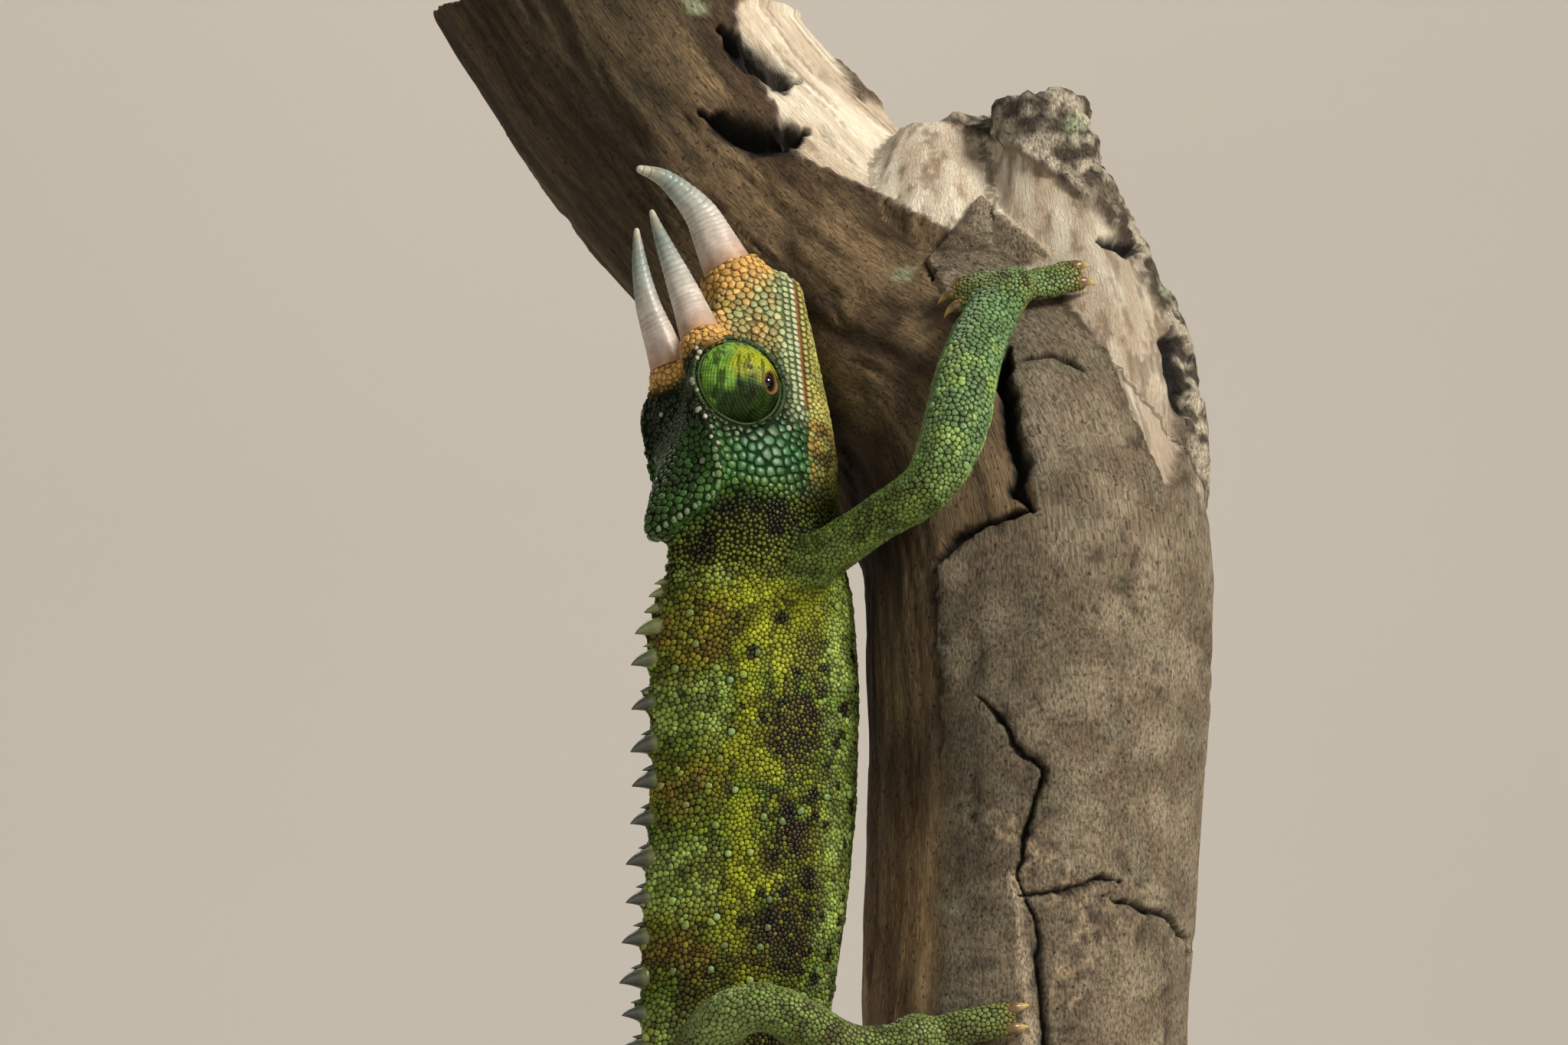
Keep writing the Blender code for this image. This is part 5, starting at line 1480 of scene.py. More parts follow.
def lid_colour(points, hand, direction):
    """Green lids with a yellow patch above the pinhole, dark moss and painted shade below, and dark freckles.
    """
    up = direction @ FORWARD
    front = direction @ (math.sin(HEAD_TURN) * hand * RIGHT - math.cos(HEAD_TURN) * CROWN)
    cloud = clouds(points, 1.7, 101) - 0.5
    green, moss_and_painted_shade = paint(110, 154, 60), paint(16, 25, 7)
    patch = ease(-0.30, -0.10, up + 0.5 * cloud) * ease(0.84, 0.62, up) * ease(-0.2, 0.2, front + 0.7 * cloud)
    # painted shade: the lower part of the lid cone darkened, mixed with dark moss
    low = ease(-0.08, -0.62, up + 0.9 * cloud - 0.5 * front)
    colour = mix(green * 1.15, green * 0.66, ease(0.35, 0.65, clouds(points, 0.9, 102)))
    colour = over(colour, (paint(152, 156, 24), patch * 0.9), (moss_and_painted_shade, low * 0.9))
    colour = colour * (1 + 0.4 * ease(-0.1, -0.7, front))[:, None]
    streak = clouds(np.column_stack([points @ CROWN * 2.4, points @ FORWARD * 0.5, points @ RIGHT]), 1.5, 103)
    far, draw = dots(points, 1.1, 105)
    freckle = ease(0.42, 0.26, far + 0.5 * cloud) * (draw < 0.5) * ease(-0.1, 0.2, front)
    return over(colour, (moss_and_painted_shade, ease(0.52, 0.62, streak) * 0.7), (paint(24, 20, 8), freckle * 0.9))


def lid_relief():
    """Height of the beads: one rounded wave along the profile times one round each ring."""
    ring = np.floor(lid_along / LID_RING)
    ring_radius = np.interp((ring + 0.5) * LID_RING, lid_along, lid_radius)
    round_count = np.maximum(np.round(2 * math.pi * ring_radius / LID_ROUND), 5)
    step = 0.5 * (ring % 2)[:, None] + 0.37 * ring[:, None]
    bead = round_wave(lid_angle[None] / (2 * math.pi) * round_count[:, None] + step)
    return LID_RELIEF * (round_wave(lid_along / LID_RING)[:, None] * (0.5 + 0.5 * bead)) ** 0.8


def make_lids(hand, name, gaze, outward):
    """The cone of fused lids, with painted shade between its beads, a brown rim, and painted shade going
    black down into the pinhole.
    """
    outside = 1 - ease(hole_rim - 0.1, hole_edge, lid_along)[:, None]
    relief = lid_relief() * outside
    slope_ahead, slope_out = np.gradient(lid_ahead, lid_along), np.gradient(lid_radius, lid_along)
    normal = unit(outward * slope_ahead[:, None, None] - gaze * slope_out[:, None, None])
    soft = 0.10 * np.sin(3 * lid_angle[None] + lid_along[:, None] * 0.9) * ease(0.0, 4.0, lid_along)[:, None]
    shape = eye_centre(hand) + lid_ahead[:, None, None] * gaze + lid_radius[:, None, None] * outward
    shape = shape + normal * (relief + soft * outside - 0.06)[..., None]
    flat = shape.reshape(-1, 3)
    tone = lid_colour(flat, hand, unit(flat - eye_centre(hand))).reshape(shape.shape)
    # painted shade: darker in the dips between the lid's beads, lighter on their tops
    tone = tone * (0.30 + 0.80 * relief / LID_RELIEF)[..., None]
    rim = ease(hole_rim - 0.05, hole_rim + 0.1, lid_along) * ease(hole_wall, hole_edge, lid_along)
    tone = mix(tone, paint(112, 82, 46), np.broadcast_to((rim * 0.85)[:, None], shape.shape[:2]))
    # painted shade: the lid's wall going black down into the pinhole
    tone = tone * (1 - 0.9 * ease(hole_edge - 0.1, hole_wall, lid_along))[:, None, None]
    piece(f"eye_turret_{name}", *tube(shape), lid_finish, "skin", (f"eye_{name}",), end_values(tone))


def make_fold(hand, name, radius, rise, thickness, colour):
    """A beaded ring of skin round the eye, on the head."""
    wheel = np.arange(241) * 2 * math.pi / 240
    wander = 0.10 * np.sin(3 * wheel + hand) + 0.05 * np.sin(7 * wheel)
    around = [EYE_SPOT[0] + radius * np.cos(wheel), EYE_SPOT[1] + radius * np.sin(wheel)]
    line = in_head(*around, hand * (EYE_OUT + rise + wander))
    outs = unit(line - eye_centre(hand) - hand * RIGHT * rise)
    beads = round_wave(wheel / (2 * math.pi) * FOLD_BEADS)[:, None]
    thick = thickness * (0.86 + 0.2 * beads) * np.ones(10)
    rings = rings_along(line, outs, np.broadcast_to(hand * RIGHT, outs.shape), thick)
    # painted shade between the fold's beads, lighter on their tops
    tone = np.broadcast_to(colour * (0.45 + 0.65 * beads)[..., None], rings.shape)
    piece(name, *tube(rings), lid_finish, "skin", (), end_values(tone))


def make_eyeball(hand, name, gaze, outward):
    """The wet bead in the pinhole: a black pupil in a brown iris."""
    sight = np.linspace(0.03, 1.25, 14)
    radius = 0.215 * EYE_RADIUS
    centre = eye_centre(hand) + gaze * (0.945 * EYE_RADIUS - 0.50 * radius)
    turned = np.cos(sight)[:, None, None] * gaze + np.sin(sight)[:, None, None] * outward[None, ::6]
    iris = mix(paint(9, 8, 7), paint(96, 68, 38), ease(0.86, 0.92, sight))
    tone = end_values(np.broadcast_to(iris[:, None], turned.shape))
    piece(f"eyeball_{name}", *tube(centre + radius * turned), wet_finish, "pupil", (f"pupil_{name}",), tone)


for hand, name in ((1, "right"), (-1, "left")):
    forward, crown, right = unit(GAZES[hand])
    gaze = forward * FORWARD + crown * CROWN + right * hand * RIGHT
    aside = unit(np.cross(gaze, CROWN))
    outward = np.cos(lid_angle)[:, None] * np.cross(aside, gaze) + np.sin(lid_angle)[:, None] * aside
    make_lids(hand, name, gaze, outward)
    for fold, (radius, rise, thickness, colour) in FOLDS.items():
        make_fold(hand, f"eye_{fold}_{name}", radius, rise, thickness, colour)
    make_eyeball(hand, name, gaze, outward)

# %% [markdown]
# ## The three horns
#
# Horns are keratin over bone, laid down in rings like a ram's, so they thicken in fine steps
# towards the head. A path in the head's own measures carries a round section whose radius falls
# by a power of the distance, and a small wave adds the rings. Pinkish ivory at the root fades
# through cool grey to a cream tip.

# %% Horns as ringed sweeps
# for each horn: its path's steps off its base, then what its radius loses along it and its tip's radius
HORNS = {
    "horn_nose": (
        ((3.3, 1.8, 0), (6.8, 3.8, 0), (9.1, 6.2, 0), (11.0, 9.2, 0), (11.6, 13.0, 0)),
        (2.68, 0.58),
    ),
    "horn_right": (
        ((4.0, 1.3, -0.5), (8.0, 2.8, -0.9), (12.0, 4.3, -1.4), (15.0, 5.4, -1.7), (17.5, 6.2, -1.9)),
        (2.25, 0.4),
    ),
    "horn_left": (
        ((3.5, 1.6, 0.5), (7.2, 3.3, 0.9), (11.0, 4.5, 1.4), (14.6, 5.2, 1.7), (17.8, 5.6, 1.9)),
        (2.1, 0.4),
    ),
}
HORN_STEP, HORN_SIDES, HORN_TAPER = 0.11, 40, 0.85
HORN_TONES = (
    (0.0, *paint(176, 138, 104)), (0.12, *paint(188, 168, 152)), (0.34, *paint(186, 178, 166)),
    (0.56, *paint(156, 158, 148)), (0.78, *paint(124, 134, 124)), (0.92, *paint(156, 152, 132)),
    (1.0, *paint(200, 192, 166)),
)  # fmt: skip
horn_finish = marked_finish(
    "horn_keratin", 0.36, 0.5, (0.88, 1.12, 1500), (0.36, 0.56, 1400), (0.00005, 0.6, 3000), (0.1, 0.25)
)

for number, (name, (offsets, (thick, thin))) in enumerate(HORNS.items()):
    base = HORN_BASES[name]
    arc, centres = path_through(np.array([base] + [np.add(base, offset) for offset in offsets]), HORN_STEP)
    centres = in_head(*centres.T)
    share = arc / arc[-1]
    side, up, _ = frames_along(centres, CROWN + 0.1 * FORWARD)
    radius = thick * (1 - share) ** HORN_TAPER + thin * (1 - 0.3 * share)
    past_round = ((arc - (arc[-1] - thin * 0.9)) / (thin * 0.9)).clip(0, 0.999)
    end_round = np.sqrt(np.clip(1 - past_round**2, 0, 1))
    theta = angles_of(HORN_SIDES)
    wander = clouds(centres, 2.6, 111 + number)[:, None]
    phase = arc[:, None] / (0.52 + 0.25 * share[:, None]) + 0.35 * np.sin(theta[None] + number) + 1.4 * wander
    ring_wave = np.abs(np.sin(phase * math.pi)) ** 0.6
    strength = (ease(0.0, 0.4, share) * ease(1.0, 0.75, share))[:, None]
    strength = strength * (0.25 + 1.2 * ease(0.35, 0.65, wander))
    relief = 0.05 * (ring_wave - 0.6) * strength
    relief = relief + 0.07 * (clouds(centres[:, None] + radius[:, None, None] * 0.3, 1.5, 115) - 0.5)
    rings = rings_along(centres, side, up, (radius[:, None] + relief) * end_round[:, None])
    tone = np.broadcast_to(np.clip(smooth_keys(HORN_TONES, share), 0.01, 1)[:, None], rings.shape)
    streak = clouds(rings.reshape(-1, 3), 1.2, 117).reshape(rings.shape[:2])
    tone = tone * (0.86 + 0.18 * (ring_wave - 0.7) * (0.2 + strength) + 0.6 * (streak - 0.5))[..., None]
    piece(name + "_ringed", *tube(rings), horn_finish, "horn", (name,), end_values(tone))

# %% [markdown]
# ## Spines
#
# The ridge of the back carries a row of cone-shaped scales, each large one with a small one ahead
# of it, grey like slate against the green. They are cones with a slightly hollow side, which is
# how such scales taper, leaning to the tail. The claws further down are made the same way.

# %% Back spines
SPINE_FIRST, SPINE_PITCH, SPINE_HEIGHT, SPINE_RADIUS, SPINE_LEAN = 8.4, 5.25, 2.35, 1.45, 0.5
SPINE_ROOT, SPINED_TAIL = 1.0, 44.0


def spine_places():
    """Distance along the body and scale of each spine: crowded on the nape, dwindling on the tail."""
    places, last, arc, count = [], HIPS_END + SPINED_TAIL, SPINE_FIRST, 0
    while arc < last:
        fade = 1 - 0.75 * max(0.0, (arc - HIPS_END + 12) / (last - HIPS_END + 12))
        rise = min(1.0, 0.5 + 0.17 * count)
        places.append((arc, rise * fade * (1 + 0.08 * math.sin(count * 2.3))))
        if count > 3:
            places.append((arc - 1.6 * fade, 0.42 * fade))
        nape = math.exp(-((count / 2.6) ** 2))
        arc += (SPINE_PITCH * (1 + 0.05 * math.sin(count * 1.7)) - 4.0 * nape) * (0.6 + 0.4 * fade)
        count += 1
    return np.array(places)


def hooked_cone(foot, tip, bend, radius, rows, sides):
    """A cone from foot to tip whose side is hollow by a power of the height, bent by `bend` mid-way."""
    share = np.linspace(0, 1, rows)
    centres = foot + share[:, None] * (tip - foot) + (4 * share * (1 - share))[:, None] * bend
    side, up, _ = frames_along(centres, np.array([0.31, 0.2, 0.93]) + 0.01 * (tip - foot))
    radii = radius * ((1 - share) ** 0.95 + 0.035)
    flutes = 1 + 0.05 * np.sin(5 * angles_of(sides))[None] * (1 - share)[:, None]
    rings = rings_along(centres, side, up, radii[:, None] * flutes)
    return *tube(rings), end_values(np.broadcast_to(share[:, None], (rows, sides)))


def gathered(parts):
    """Several closed shapes as one set of points, faces and values."""
    starts = np.cumsum([0] + [len(part[0]) for part in parts])
    points = np.concatenate([part[0] for part in parts])
    faces = np.concatenate([part[1] + start for part, start in zip(parts, starts)])
    return points, faces, np.concatenate([part[2] for part in parts])


spine_rows = spine_places()
centre, back, _, tangent, above, _ = body_at(spine_rows[:, 0])
spine_parts, spine_green = [], []
for i, (arc_here, scale) in enumerate(spine_rows):
    lean = unit(back[i] + tangent[i] * SPINE_LEAN)
    foot = centre[i] + back[i] * (above[i] - SPINE_ROOT - 0.2)
    tip = centre[i] + back[i] * above[i] + lean * SPINE_HEIGHT * scale * 1.04
    bend = (back[i] - tangent[i]) * 0.16 * scale
    part = hooked_cone(foot, tip, bend, SPINE_RADIUS * 1.12 * scale, 8, 14)
    spine_parts.append(part)
    spine_green.append(np.full(len(part[0]), ease(22, 14, arc_here)))
points, faces, share = gathered(spine_parts)
green = np.concatenate(spine_green)
tone = over(
    paint(44, 46, 32),
    (paint(58, 60, 52), ease(0.25, 0.6, share)),
    (paint(88, 90, 80), ease(0.7, 1.0, share) * 0.5),
    (paint(104, 112, 58), np.clip(green * 0.75 + ease(0.36, 0.16, share) * 0.6, 0, 0.9)),
)
tone = tone * (0.75 + 0.5 * clouds(points, 1.1, 121))[:, None]
spine_finish = marked_finish(
    "spine_scale", 0.36, 0.5, (0.85, 1.15, 3000), (0.28, 0.46, 1500), (0.00005, 0.6, 4000)
)
piece("back_spines", points, faces, spine_finish, "skin", (), tone)

# %% [markdown]
# ## The branch's form
#
# The animal holds a weathered limb, forked, with the bark gone from a long patch. It is three
# limbs that run together, remeshed into one surface and then worked in layers, as a carver would:
# long furrows that follow the grain, cracks along named lines, a sunk patch of bare wood, a
# raised flap of bark, and a rough broken knob. The grain needs the limb's own directions, so each
# point looks up its place along the nearest limb.

# %% Bark coordinates
BRANCH_FOOT, BRANCH_TOP = -45.0, 141.5
BARK_VOXEL = 0.80

bark_points, bark_faces = remeshed(swollen_copy(["perch_branch"], 0.0), BARK_VOXEL)
bark_points, bark_faces = kept_body(bark_points, bark_faces)
bark_points = fair(bark_points, edges_of(bark_faces), 6)


COSINE, TANGENT = 0.9925, 0.1228


def front_place(points):
    """Across and up in mm as the viewer sees them, who looks up by 7 degrees."""
    return np.column_stack([points[:, 0], COSINE * (points[:, 2] - TANGENT * (points[:, 1] + 8))])


def along_line(places, line):
    """Distance to a broken line, and the share along it of the nearest spot."""
    line = np.asarray(line, float)
    starts = run_lengths(line)
    lengths = np.diff(starts)
    best, share = np.full(len(places), 999.0), np.zeros(len(places))
    for i in range(len(line) - 1):
        step = line[i + 1] - line[i]
        t = np.clip((places - line[i]) @ step / (step @ step), 0, 1)
        far = np.linalg.norm(places - line[i] - t[:, None] * step, axis=1)
        nearer = far < best
        best = np.where(nearer, far, best)
        share = np.where(nearer, (starts[i] + t * lengths[i]) / starts[-1], share)
    return best, share


def finer_where(points, faces, wanted):
    """The surface in triangles, every edge between two wanted points first cut in three."""
    surface = bmesh.new()
    corners = [surface.verts.new(point) for point in points.tolist()]
    for face in faces.tolist():
        surface.faces.new([corners[i] for i in face])
    surface.verts.index_update()
    cut = [edge for edge in surface.edges if wanted[edge.verts[0].index] and wanted[edge.verts[1].index]]
    bmesh.ops.subdivide_edges(surface, edges=cut, cuts=2, use_grid_fill=True)
    bmesh.ops.triangulate(surface, faces=surface.faces[:])
    surface.verts.index_update()
    new_points = np.array([vertex.co[:] for vertex in surface.verts])
    new_faces = np.array([[vertex.index for vertex in face.verts] for face in surface.faces])
    surface.free()
    return new_points, new_faces


# name: line of (across, up) as seen from the front, half width, depth
CRACKS = {
    "long": (
        ((-7.7, 44.8), (-5.4, 42.8), (-3.2, 39.3), (-1.7, 37.1), (0.3, 35.8), (-0.4, 33.3), (-2.2, 27.3),
         (-3.0, 22.8), (-2.2, 20.3)),
        0.42, 1.8,
    ),
    "cross": (((-3.0, 20.1), (1.8, 20.3), (5.8, 21.5), (7.4, 22.4), (9.8, 21.6)), 0.36, 1.4),
    "lower_right": (((7.8, 19.8), (11.8, 18.3), (15.8, 16.8), (18.3, 13.8), (18.8, 11.8)), 0.34, 1.4),
    "foot": (
        ((-2.2, 20.3), (-0.8, 17.0), (-0.6, 12.0), (0.0, 5.3), (0.4, -2.0), (0.6, -14.0), (-0.4, -28.0),
         (0.2, -44.0)),
        0.50, 1.6,
    ),
    "split": (
        ((-3.4, 89.0), (-4.6, 85.0), (-3.4, 81.0), (-3.8, 78.0), (-2.2, 74.0), (-2.8, 71.0), (-0.6, 68.0)),
        1.05, 3.4,
    ),
    "split_arm": (((-2.6, 87.6), (0.8, 88.2), (4.4, 87.2), (6.4, 85.6)), 0.34, 1.4),
    "ledge": (((-13.6, 60.4), (-12.2, 62.6), (-9.8, 64.8), (-6.4, 66.8), (-0.4, 68.2)), 0.46, 2.0),
    "furrow": (((-12.8, 61.4), (-13.2, 57.0), (-12.8, 48.0), (-12.4, 36.0)), 0.5, 0.9),
    "hollow": (((-43.0, 120.4), (-39.4, 118.4), (-35.4, 116.8), (-31.4, 118.0), (-29.0, 118.6)), 1.7, 4.5),
    "top_slot": (((-40.4, 132.0), (-36.4, 128.2), (-32.4, 126.0), (-30.0, 125.6)), 1.7, 3.6),
    "knot_hole": (((-13.6, 98.8), (-13.2, 98.9)), 1.1, 3.0),
    "right_slot": (((8.4, 103.2), (11.2, 103.0), (14.0, 101.6)), 0.8, 2.4),
    "edge_slot": (((17.6, 92.0), (18.6, 86.0), (19.6, 79.4)), 0.9, 2.4),
}  # fmt: skip
# the middle of the bare patch, and its half width by the share along that line
BARE_LINE = (
    (-33.0, 134.0), (-26.2, 119.3), (-14.2, 114.3), (-2.2, 107.3), (7.8, 100.3), (13.3, 90.3), (15.8, 79.3),
    (16.8, 72.3),
)  # fmt: skip
BARE_KEYS = (
    (0.0, 5.0), (0.2, 5.6), (0.36, 6.4), (0.5, 6.4), (0.65, 5.4), (0.8, 4.2), (0.92, 2.6), (1.0, 0.8),
)  # fmt: skip
FLAP = ((-6.7, 109.3), (2.3, 101.3), (-11.2, 95.3), (-13.7, 100.3))
# the left edge of the outer bark
PLATE_EDGE = (
    (-14.2, -45.0), (-14.2, 0.0), (-13.2, 23.3), (-12.2, 35.3), (-12.7, 48.3), (-13.2, 57.3), (-12.7, 61.3),
    (-9.7, 64.3), (-6.2, 66.5), (-0.4, 68.3), (-2.2, 77.3), (-3.7, 81.3), (-5.2, 90.3), (-5.2, 150.0),
)  # fmt: skip
# lines down the middle of the crumbled bark and of the pale scar
CRUMBLED = ((-4.0, 28.0), (0.5, 24.0), (7.0, 17.0), (3.0, 8.0))
PALE_STRIP = ((-3.2, 22.3), (-2.6, 15.0), (-2.0, 7.0), (-1.5, 0.0), (-1.2, -16.0))

view = front_place(bark_points)
wanted = np.min([along_line(view, line)[0] - width for line, width, _ in CRACKS.values()], axis=0) < 0.7
wanted |= along_line(view, PLATE_EDGE)[0] < 0.6
far, share = along_line(view, BARE_LINE)
wanted |= np.abs(far - smooth_keys(BARE_KEYS, share)[:, 0]) < 1.0
wanted |= along_line(view, FLAP + FLAP[:1])[0] < 0.7
wanted &= normals_of(bark_points, bark_faces)[:, 1] < 0.1
bark_points, bark_faces = finer_where(bark_points, bark_faces, wanted)
bark_normals = normals_of(bark_points, bark_faces)

nearest_far = np.full(len(bark_points), 999.0)
grain = np.zeros_like(bark_points)
for arc, core in cores:
    core_side, core_up, core_along = frames_along(core[:, :3], np.array([0.0, 1.0, 0.0]))
    near = nearest_sample(bark_points, core[:, :3])
    off = bark_points - core[near, :3]
    far = np.linalg.norm(off, axis=1) - core[near, 3]
    directions = (core_side, core_up, core_along)
    local = np.column_stack([np.einsum("ij,ij->i", off, way[near]) for way in directions])
    local[:, 2] += arc[near] + core[0, 2]
    better = far < nearest_far
    grain = np.where(better[:, None], local, grain)
    nearest_far = np.minimum(nearest_far, far)
print("bark points", len(bark_points), "faces", len(bark_faces))

# %% [markdown]
# ## Cracks, bare wood and the broken knob
#
# The front of the limb is known in detail, so its main cracks are drawn as lines seen from the
# front, across and up in millimetres, each with a width and a depth. Everywhere else the cracks
# come from noise: a thin band where a stretched cloud passes its middle value reads as a split
# that wanders along the grain.


# %% Carving the bark
view = front_place(bark_points)
facing = ease(0.25, -0.15, bark_normals[:, 1])
jag = (clouds(bark_points, 1.4, 131) - 0.5) * 1.3
wavy = view + (np.column_stack([clouds(bark_points, 2.2, seed) for seed in (133, 135)]) - 0.5) * 1.5
crack_depth = np.zeros(len(bark_points))
for line, width, depth in CRACKS.values():
    far, share = along_line(wavy, line)
    narrowing = np.clip(np.minimum(share, 1 - share) * 7, 0.25, 1)
    inside = np.exp(-1.2 * (far / (width * narrowing)) ** 2)
    crack_depth = np.maximum(crack_depth, depth * inside * facing)

far, share = along_line(view, BARE_LINE)
bare_half = smooth_keys(BARE_KEYS, share)[:, 0]
bare = ease(0.9, -0.5, far + jag - bare_half) * facing
bare_edge = hill(far + jag - bare_half, 0.5, 0.6) * facing
bare_back = ease(0.60, 0.68, clouds(grain / [1, 1, 3.2], 13, 137)) * (1 - facing)
bare = np.clip(bare + bare_back * 0.9, 0, 1)

flap_inside = facing
flap = np.array(FLAP)
for corner, following in zip(flap, np.roll(flap, -1, axis=0)):
    step = following - corner
    edge_normal = unit([-step[1], step[0]])
    inward = np.sign((flap.mean(0) - corner) @ edge_normal)
    flap_inside = flap_inside * ease(-0.2, 0.35, (view - corner) @ edge_normal * inward + jag * 0.4)
bare = bare * (1 - flap_inside)

across, up = view.T
blend = 0.14 + 3.0 * ease(58, 40, up) * ease(0.3, 0.6, clouds(grain / [1, 1, 4], 4.0, 183))
plate = ease(-1, 1, (across + 0.8 * jag - np.interp(up, *np.array(PLATE_EDGE).T[::-1])) / blend)
plate = np.maximum(plate, flap_inside)
bare_across = np.interp(up, *np.array(BARE_LINE[::-1]).T[::-1])
rough = ease(108, 115, bark_points[:, 2]) * ease(-16, -8, bark_points[:, 0])
rough = np.maximum(rough, ease(2.6, 4.4, across - bare_across) * ease(64, 74, up) * ease(114, 104, up))
near_hand = np.min([np.linalg.norm(bark_points - palm, axis=1) for palm, _ in GRIPS.values()], axis=0)
calm = 0.25 + 0.75 * ease(12, 19, near_hand)

furrow = np.abs(clouds(grain / [1, 1, 7.0], 2.2, 141, 2) * 2 - 1)
fibre = clouds(grain / [1, 1, 8.0], 1.6, 143, 2)
pits = ease(0.60, 0.72, clouds(bark_points, 1.7, 145, 2))
split = hill(clouds(grain / [1, 1, 5.0], 9.0, 147, 2), 0.5, 0.012)
split = split * ease(0.5, 0.62, clouds(bark_points, 22, 149, 1)) * (1 - 0.7 * facing)
bark_only = 1 - bare
carve = -0.38 * ease(0.34, 0.02, furrow) * bark_only * (1 - plate) + 0.5 * (fibre - 0.5) * (1 - 0.6 * plate)
carve += (0.5 * plate * facing - 0.25 * pits * plate) * bark_only
carve += 0.9 * (clouds(bark_points, 15, 151, 2) - 0.5)
carve = carve * calm - 1.6 * split * calm
carve += -0.75 * bare * calm + 0.35 * bare_edge * bark_only
carve += 0.45 * flap_inside - crack_depth
carve += rough * bark_only * (3.4 * (clouds(bark_points, 2.6, 153) - 0.52))
from_end = np.minimum(BRANCH_TOP - bark_points[:, 2], bark_points[:, 2] - BRANCH_FOOT)
flat_end = ease(0.9, 0.5, from_end)
carve = carve * (1 - flat_end)
bark_carved = bark_points + bark_normals * np.minimum(carve, 1.0)[:, None]

# %% [markdown]
# ## Bark and bare wood
#
# Grey-brown outer bark, darker in the furrows, partly as painted shade, and painted nearly black in
# the cracks as shade; cream-coloured wood where it has gone, streaked with brown along the grain; a
# little pale lichen. Painted light and shade go in too: painted shadow on the bark under the animal,
# a shaded upper left limb, bark lighter low down and to the right, bare wood lighter to the left.
# These large changes are painted on the points, one pigment over the other in the order in which
# they lie.


# %% Bark colours
def lumpy(low, high, size, seed):
    """0 to 1 where a cloud of this size over the branch goes from low to high."""
    return ease(low, high, clouds(bark_points, size, seed))


def streaky(low, high, stretch, size, seed):
    """The same for a cloud drawn out along the grain."""
    return ease(low, high, clouds(grain / [1, 1, stretch], size, seed))


fibre_tone = over(
    paint(76, 60, 42),
    (paint(122, 102, 74), streaky(0.35, 0.65, 4, 5.0, 163)),
    # painted shade: the upper left limb darkened
    (paint(62, 52, 34), ease(88, 112, bark_points[:, 2]) * ease(-38, -52, bark_points[:, 0]) * 0.8),
)
# painted light and shadow on the fibrous bark: much lighter low down, painted shadow under the animal about
# 58 mm up, a touch lighter high up
fibre_painted_light = 1 + 2.0 * ease(42, 12, up) - 0.45 * hill(up, 58, 16) + 0.06 * ease(90, 105, up)
plate_tone = over(
    paint(108, 95, 76),
    (paint(138, 126, 104), lumpy(0.3, 0.7, 5.0, 165)),
    (paint(128, 104, 84), lumpy(0.58, 0.7, 1.4, 167) * 0.3),
    (paint(112, 112, 90), lumpy(0.56, 0.7, 3.4, 169) * 0.35),
)
# darker where the bark is pitted, lighter on the flap
plate_pits_and_painted_light = (1 - 0.5 * pits * lumpy(0.45, 0.65, 6.0, 185)) * (1 + 0.35 * flap_inside)
# painted light and shade: the outer bark darker to the left, lighter to the right and low down
plate_pits_and_painted_light = plate_pits_and_painted_light * (0.64 + 0.28 * ease(-8, 14, across) + 0.1 * ease(20, -10, up))
wood_tone = over(
    paint(190, 173, 149),
    (paint(217, 207, 185), streaky(0.35, 0.7, 8, 2.0, 171)),
    (paint(104, 78, 54), streaky(0.56, 0.66, 14, 1.0, 173) * 0.55),
)
# painted light and shade on the bare wood: lighter to the left, darker to the right
wood_painted_light = 1.22 - 0.42 * ease(-14, 10, across)

lumps = clouds(bark_points, 1.8, 175)
crumbs = ease(4.6, 1.0, along_line(view, CRUMBLED)[0] + 2.4 * (lumps - 0.5)) * facing * bark_only
strip = ease(0.8, 0.45, along_line(view, PALE_STRIP)[0] + 0.5 * jag) * facing
far, draw = dots(bark_points, 9.0, 177)
lichen = ease(2.0, 1.0, far + 2.6 * (clouds(bark_points, 1.1, 179) - 0.5)) * (draw < 0.16) * bark_only
ends = flat_end * ease(0.8, 0.95, np.abs(bark_normals[:, 2]))
year_rings = 0.5 + 0.5 * np.sin((nearest_far + 0.6 * clouds(bark_points, 11, 161)) * 5.2)

bark_tone = mix(fibre_tone * fibre_painted_light[:, None], plate_tone * plate_pits_and_painted_light[:, None], plate)
bark_tone = over(
    # darker in the furrows: partly the bark's own colour, partly painted shade
    bark_tone * (1 - 0.4 * ease(0.30, 0.04, furrow) * (1 - plate))[:, None],
    (wood_tone * wood_painted_light[:, None], bare),
    (paint(66, 50, 40), bare_edge * 0.6),
    (mix(paint(52, 44, 36), paint(172, 162, 142), ease(0.42, 0.62, lumps)), rough * bark_only * 0.85),
    (paint(58, 44, 40), crumbs * lumpy(0.50, 0.62, 1.2, 187) * 0.75),
    (paint(166, 146, 118), crumbs * lumpy(0.47, 0.36, 1.0, 189) * 0.7),
    (paint(176, 158, 134), strip * 0.85),
    # painted shade: the cracks and splits painted nearly black
    (paint(14, 11, 9), np.clip(crack_depth / 1.5, 0, 1) * 0.95),
    (paint(24, 19, 15), split * 0.85),
    (paint(150, 156, 126), lichen * 0.7),
    (mix(paint(170, 134, 92), paint(132, 98, 64), year_rings), ends),
)
print("mean bark colour", bark_tone.mean(0).round(3))

# %% [markdown]
# ## The bark's finish
#
# Each point of the branch carries its place along the grain, how much of it is hard outer bark and
# how bare it is. The material draws its fibres out along the grain, breaks them into specks on the
# outer bark, and keeps the bare wood nearly even.

# %% Bark material
bark_finish, bark_shader, bark_tree = shader_of("weathered_bark", 0.85, 0.25)
grain_place = stored_value(bark_tree, "grain", "Vector")
plate_value, bare_value = stored_value(bark_tree, "plate"), stored_value(bark_tree, "bare")


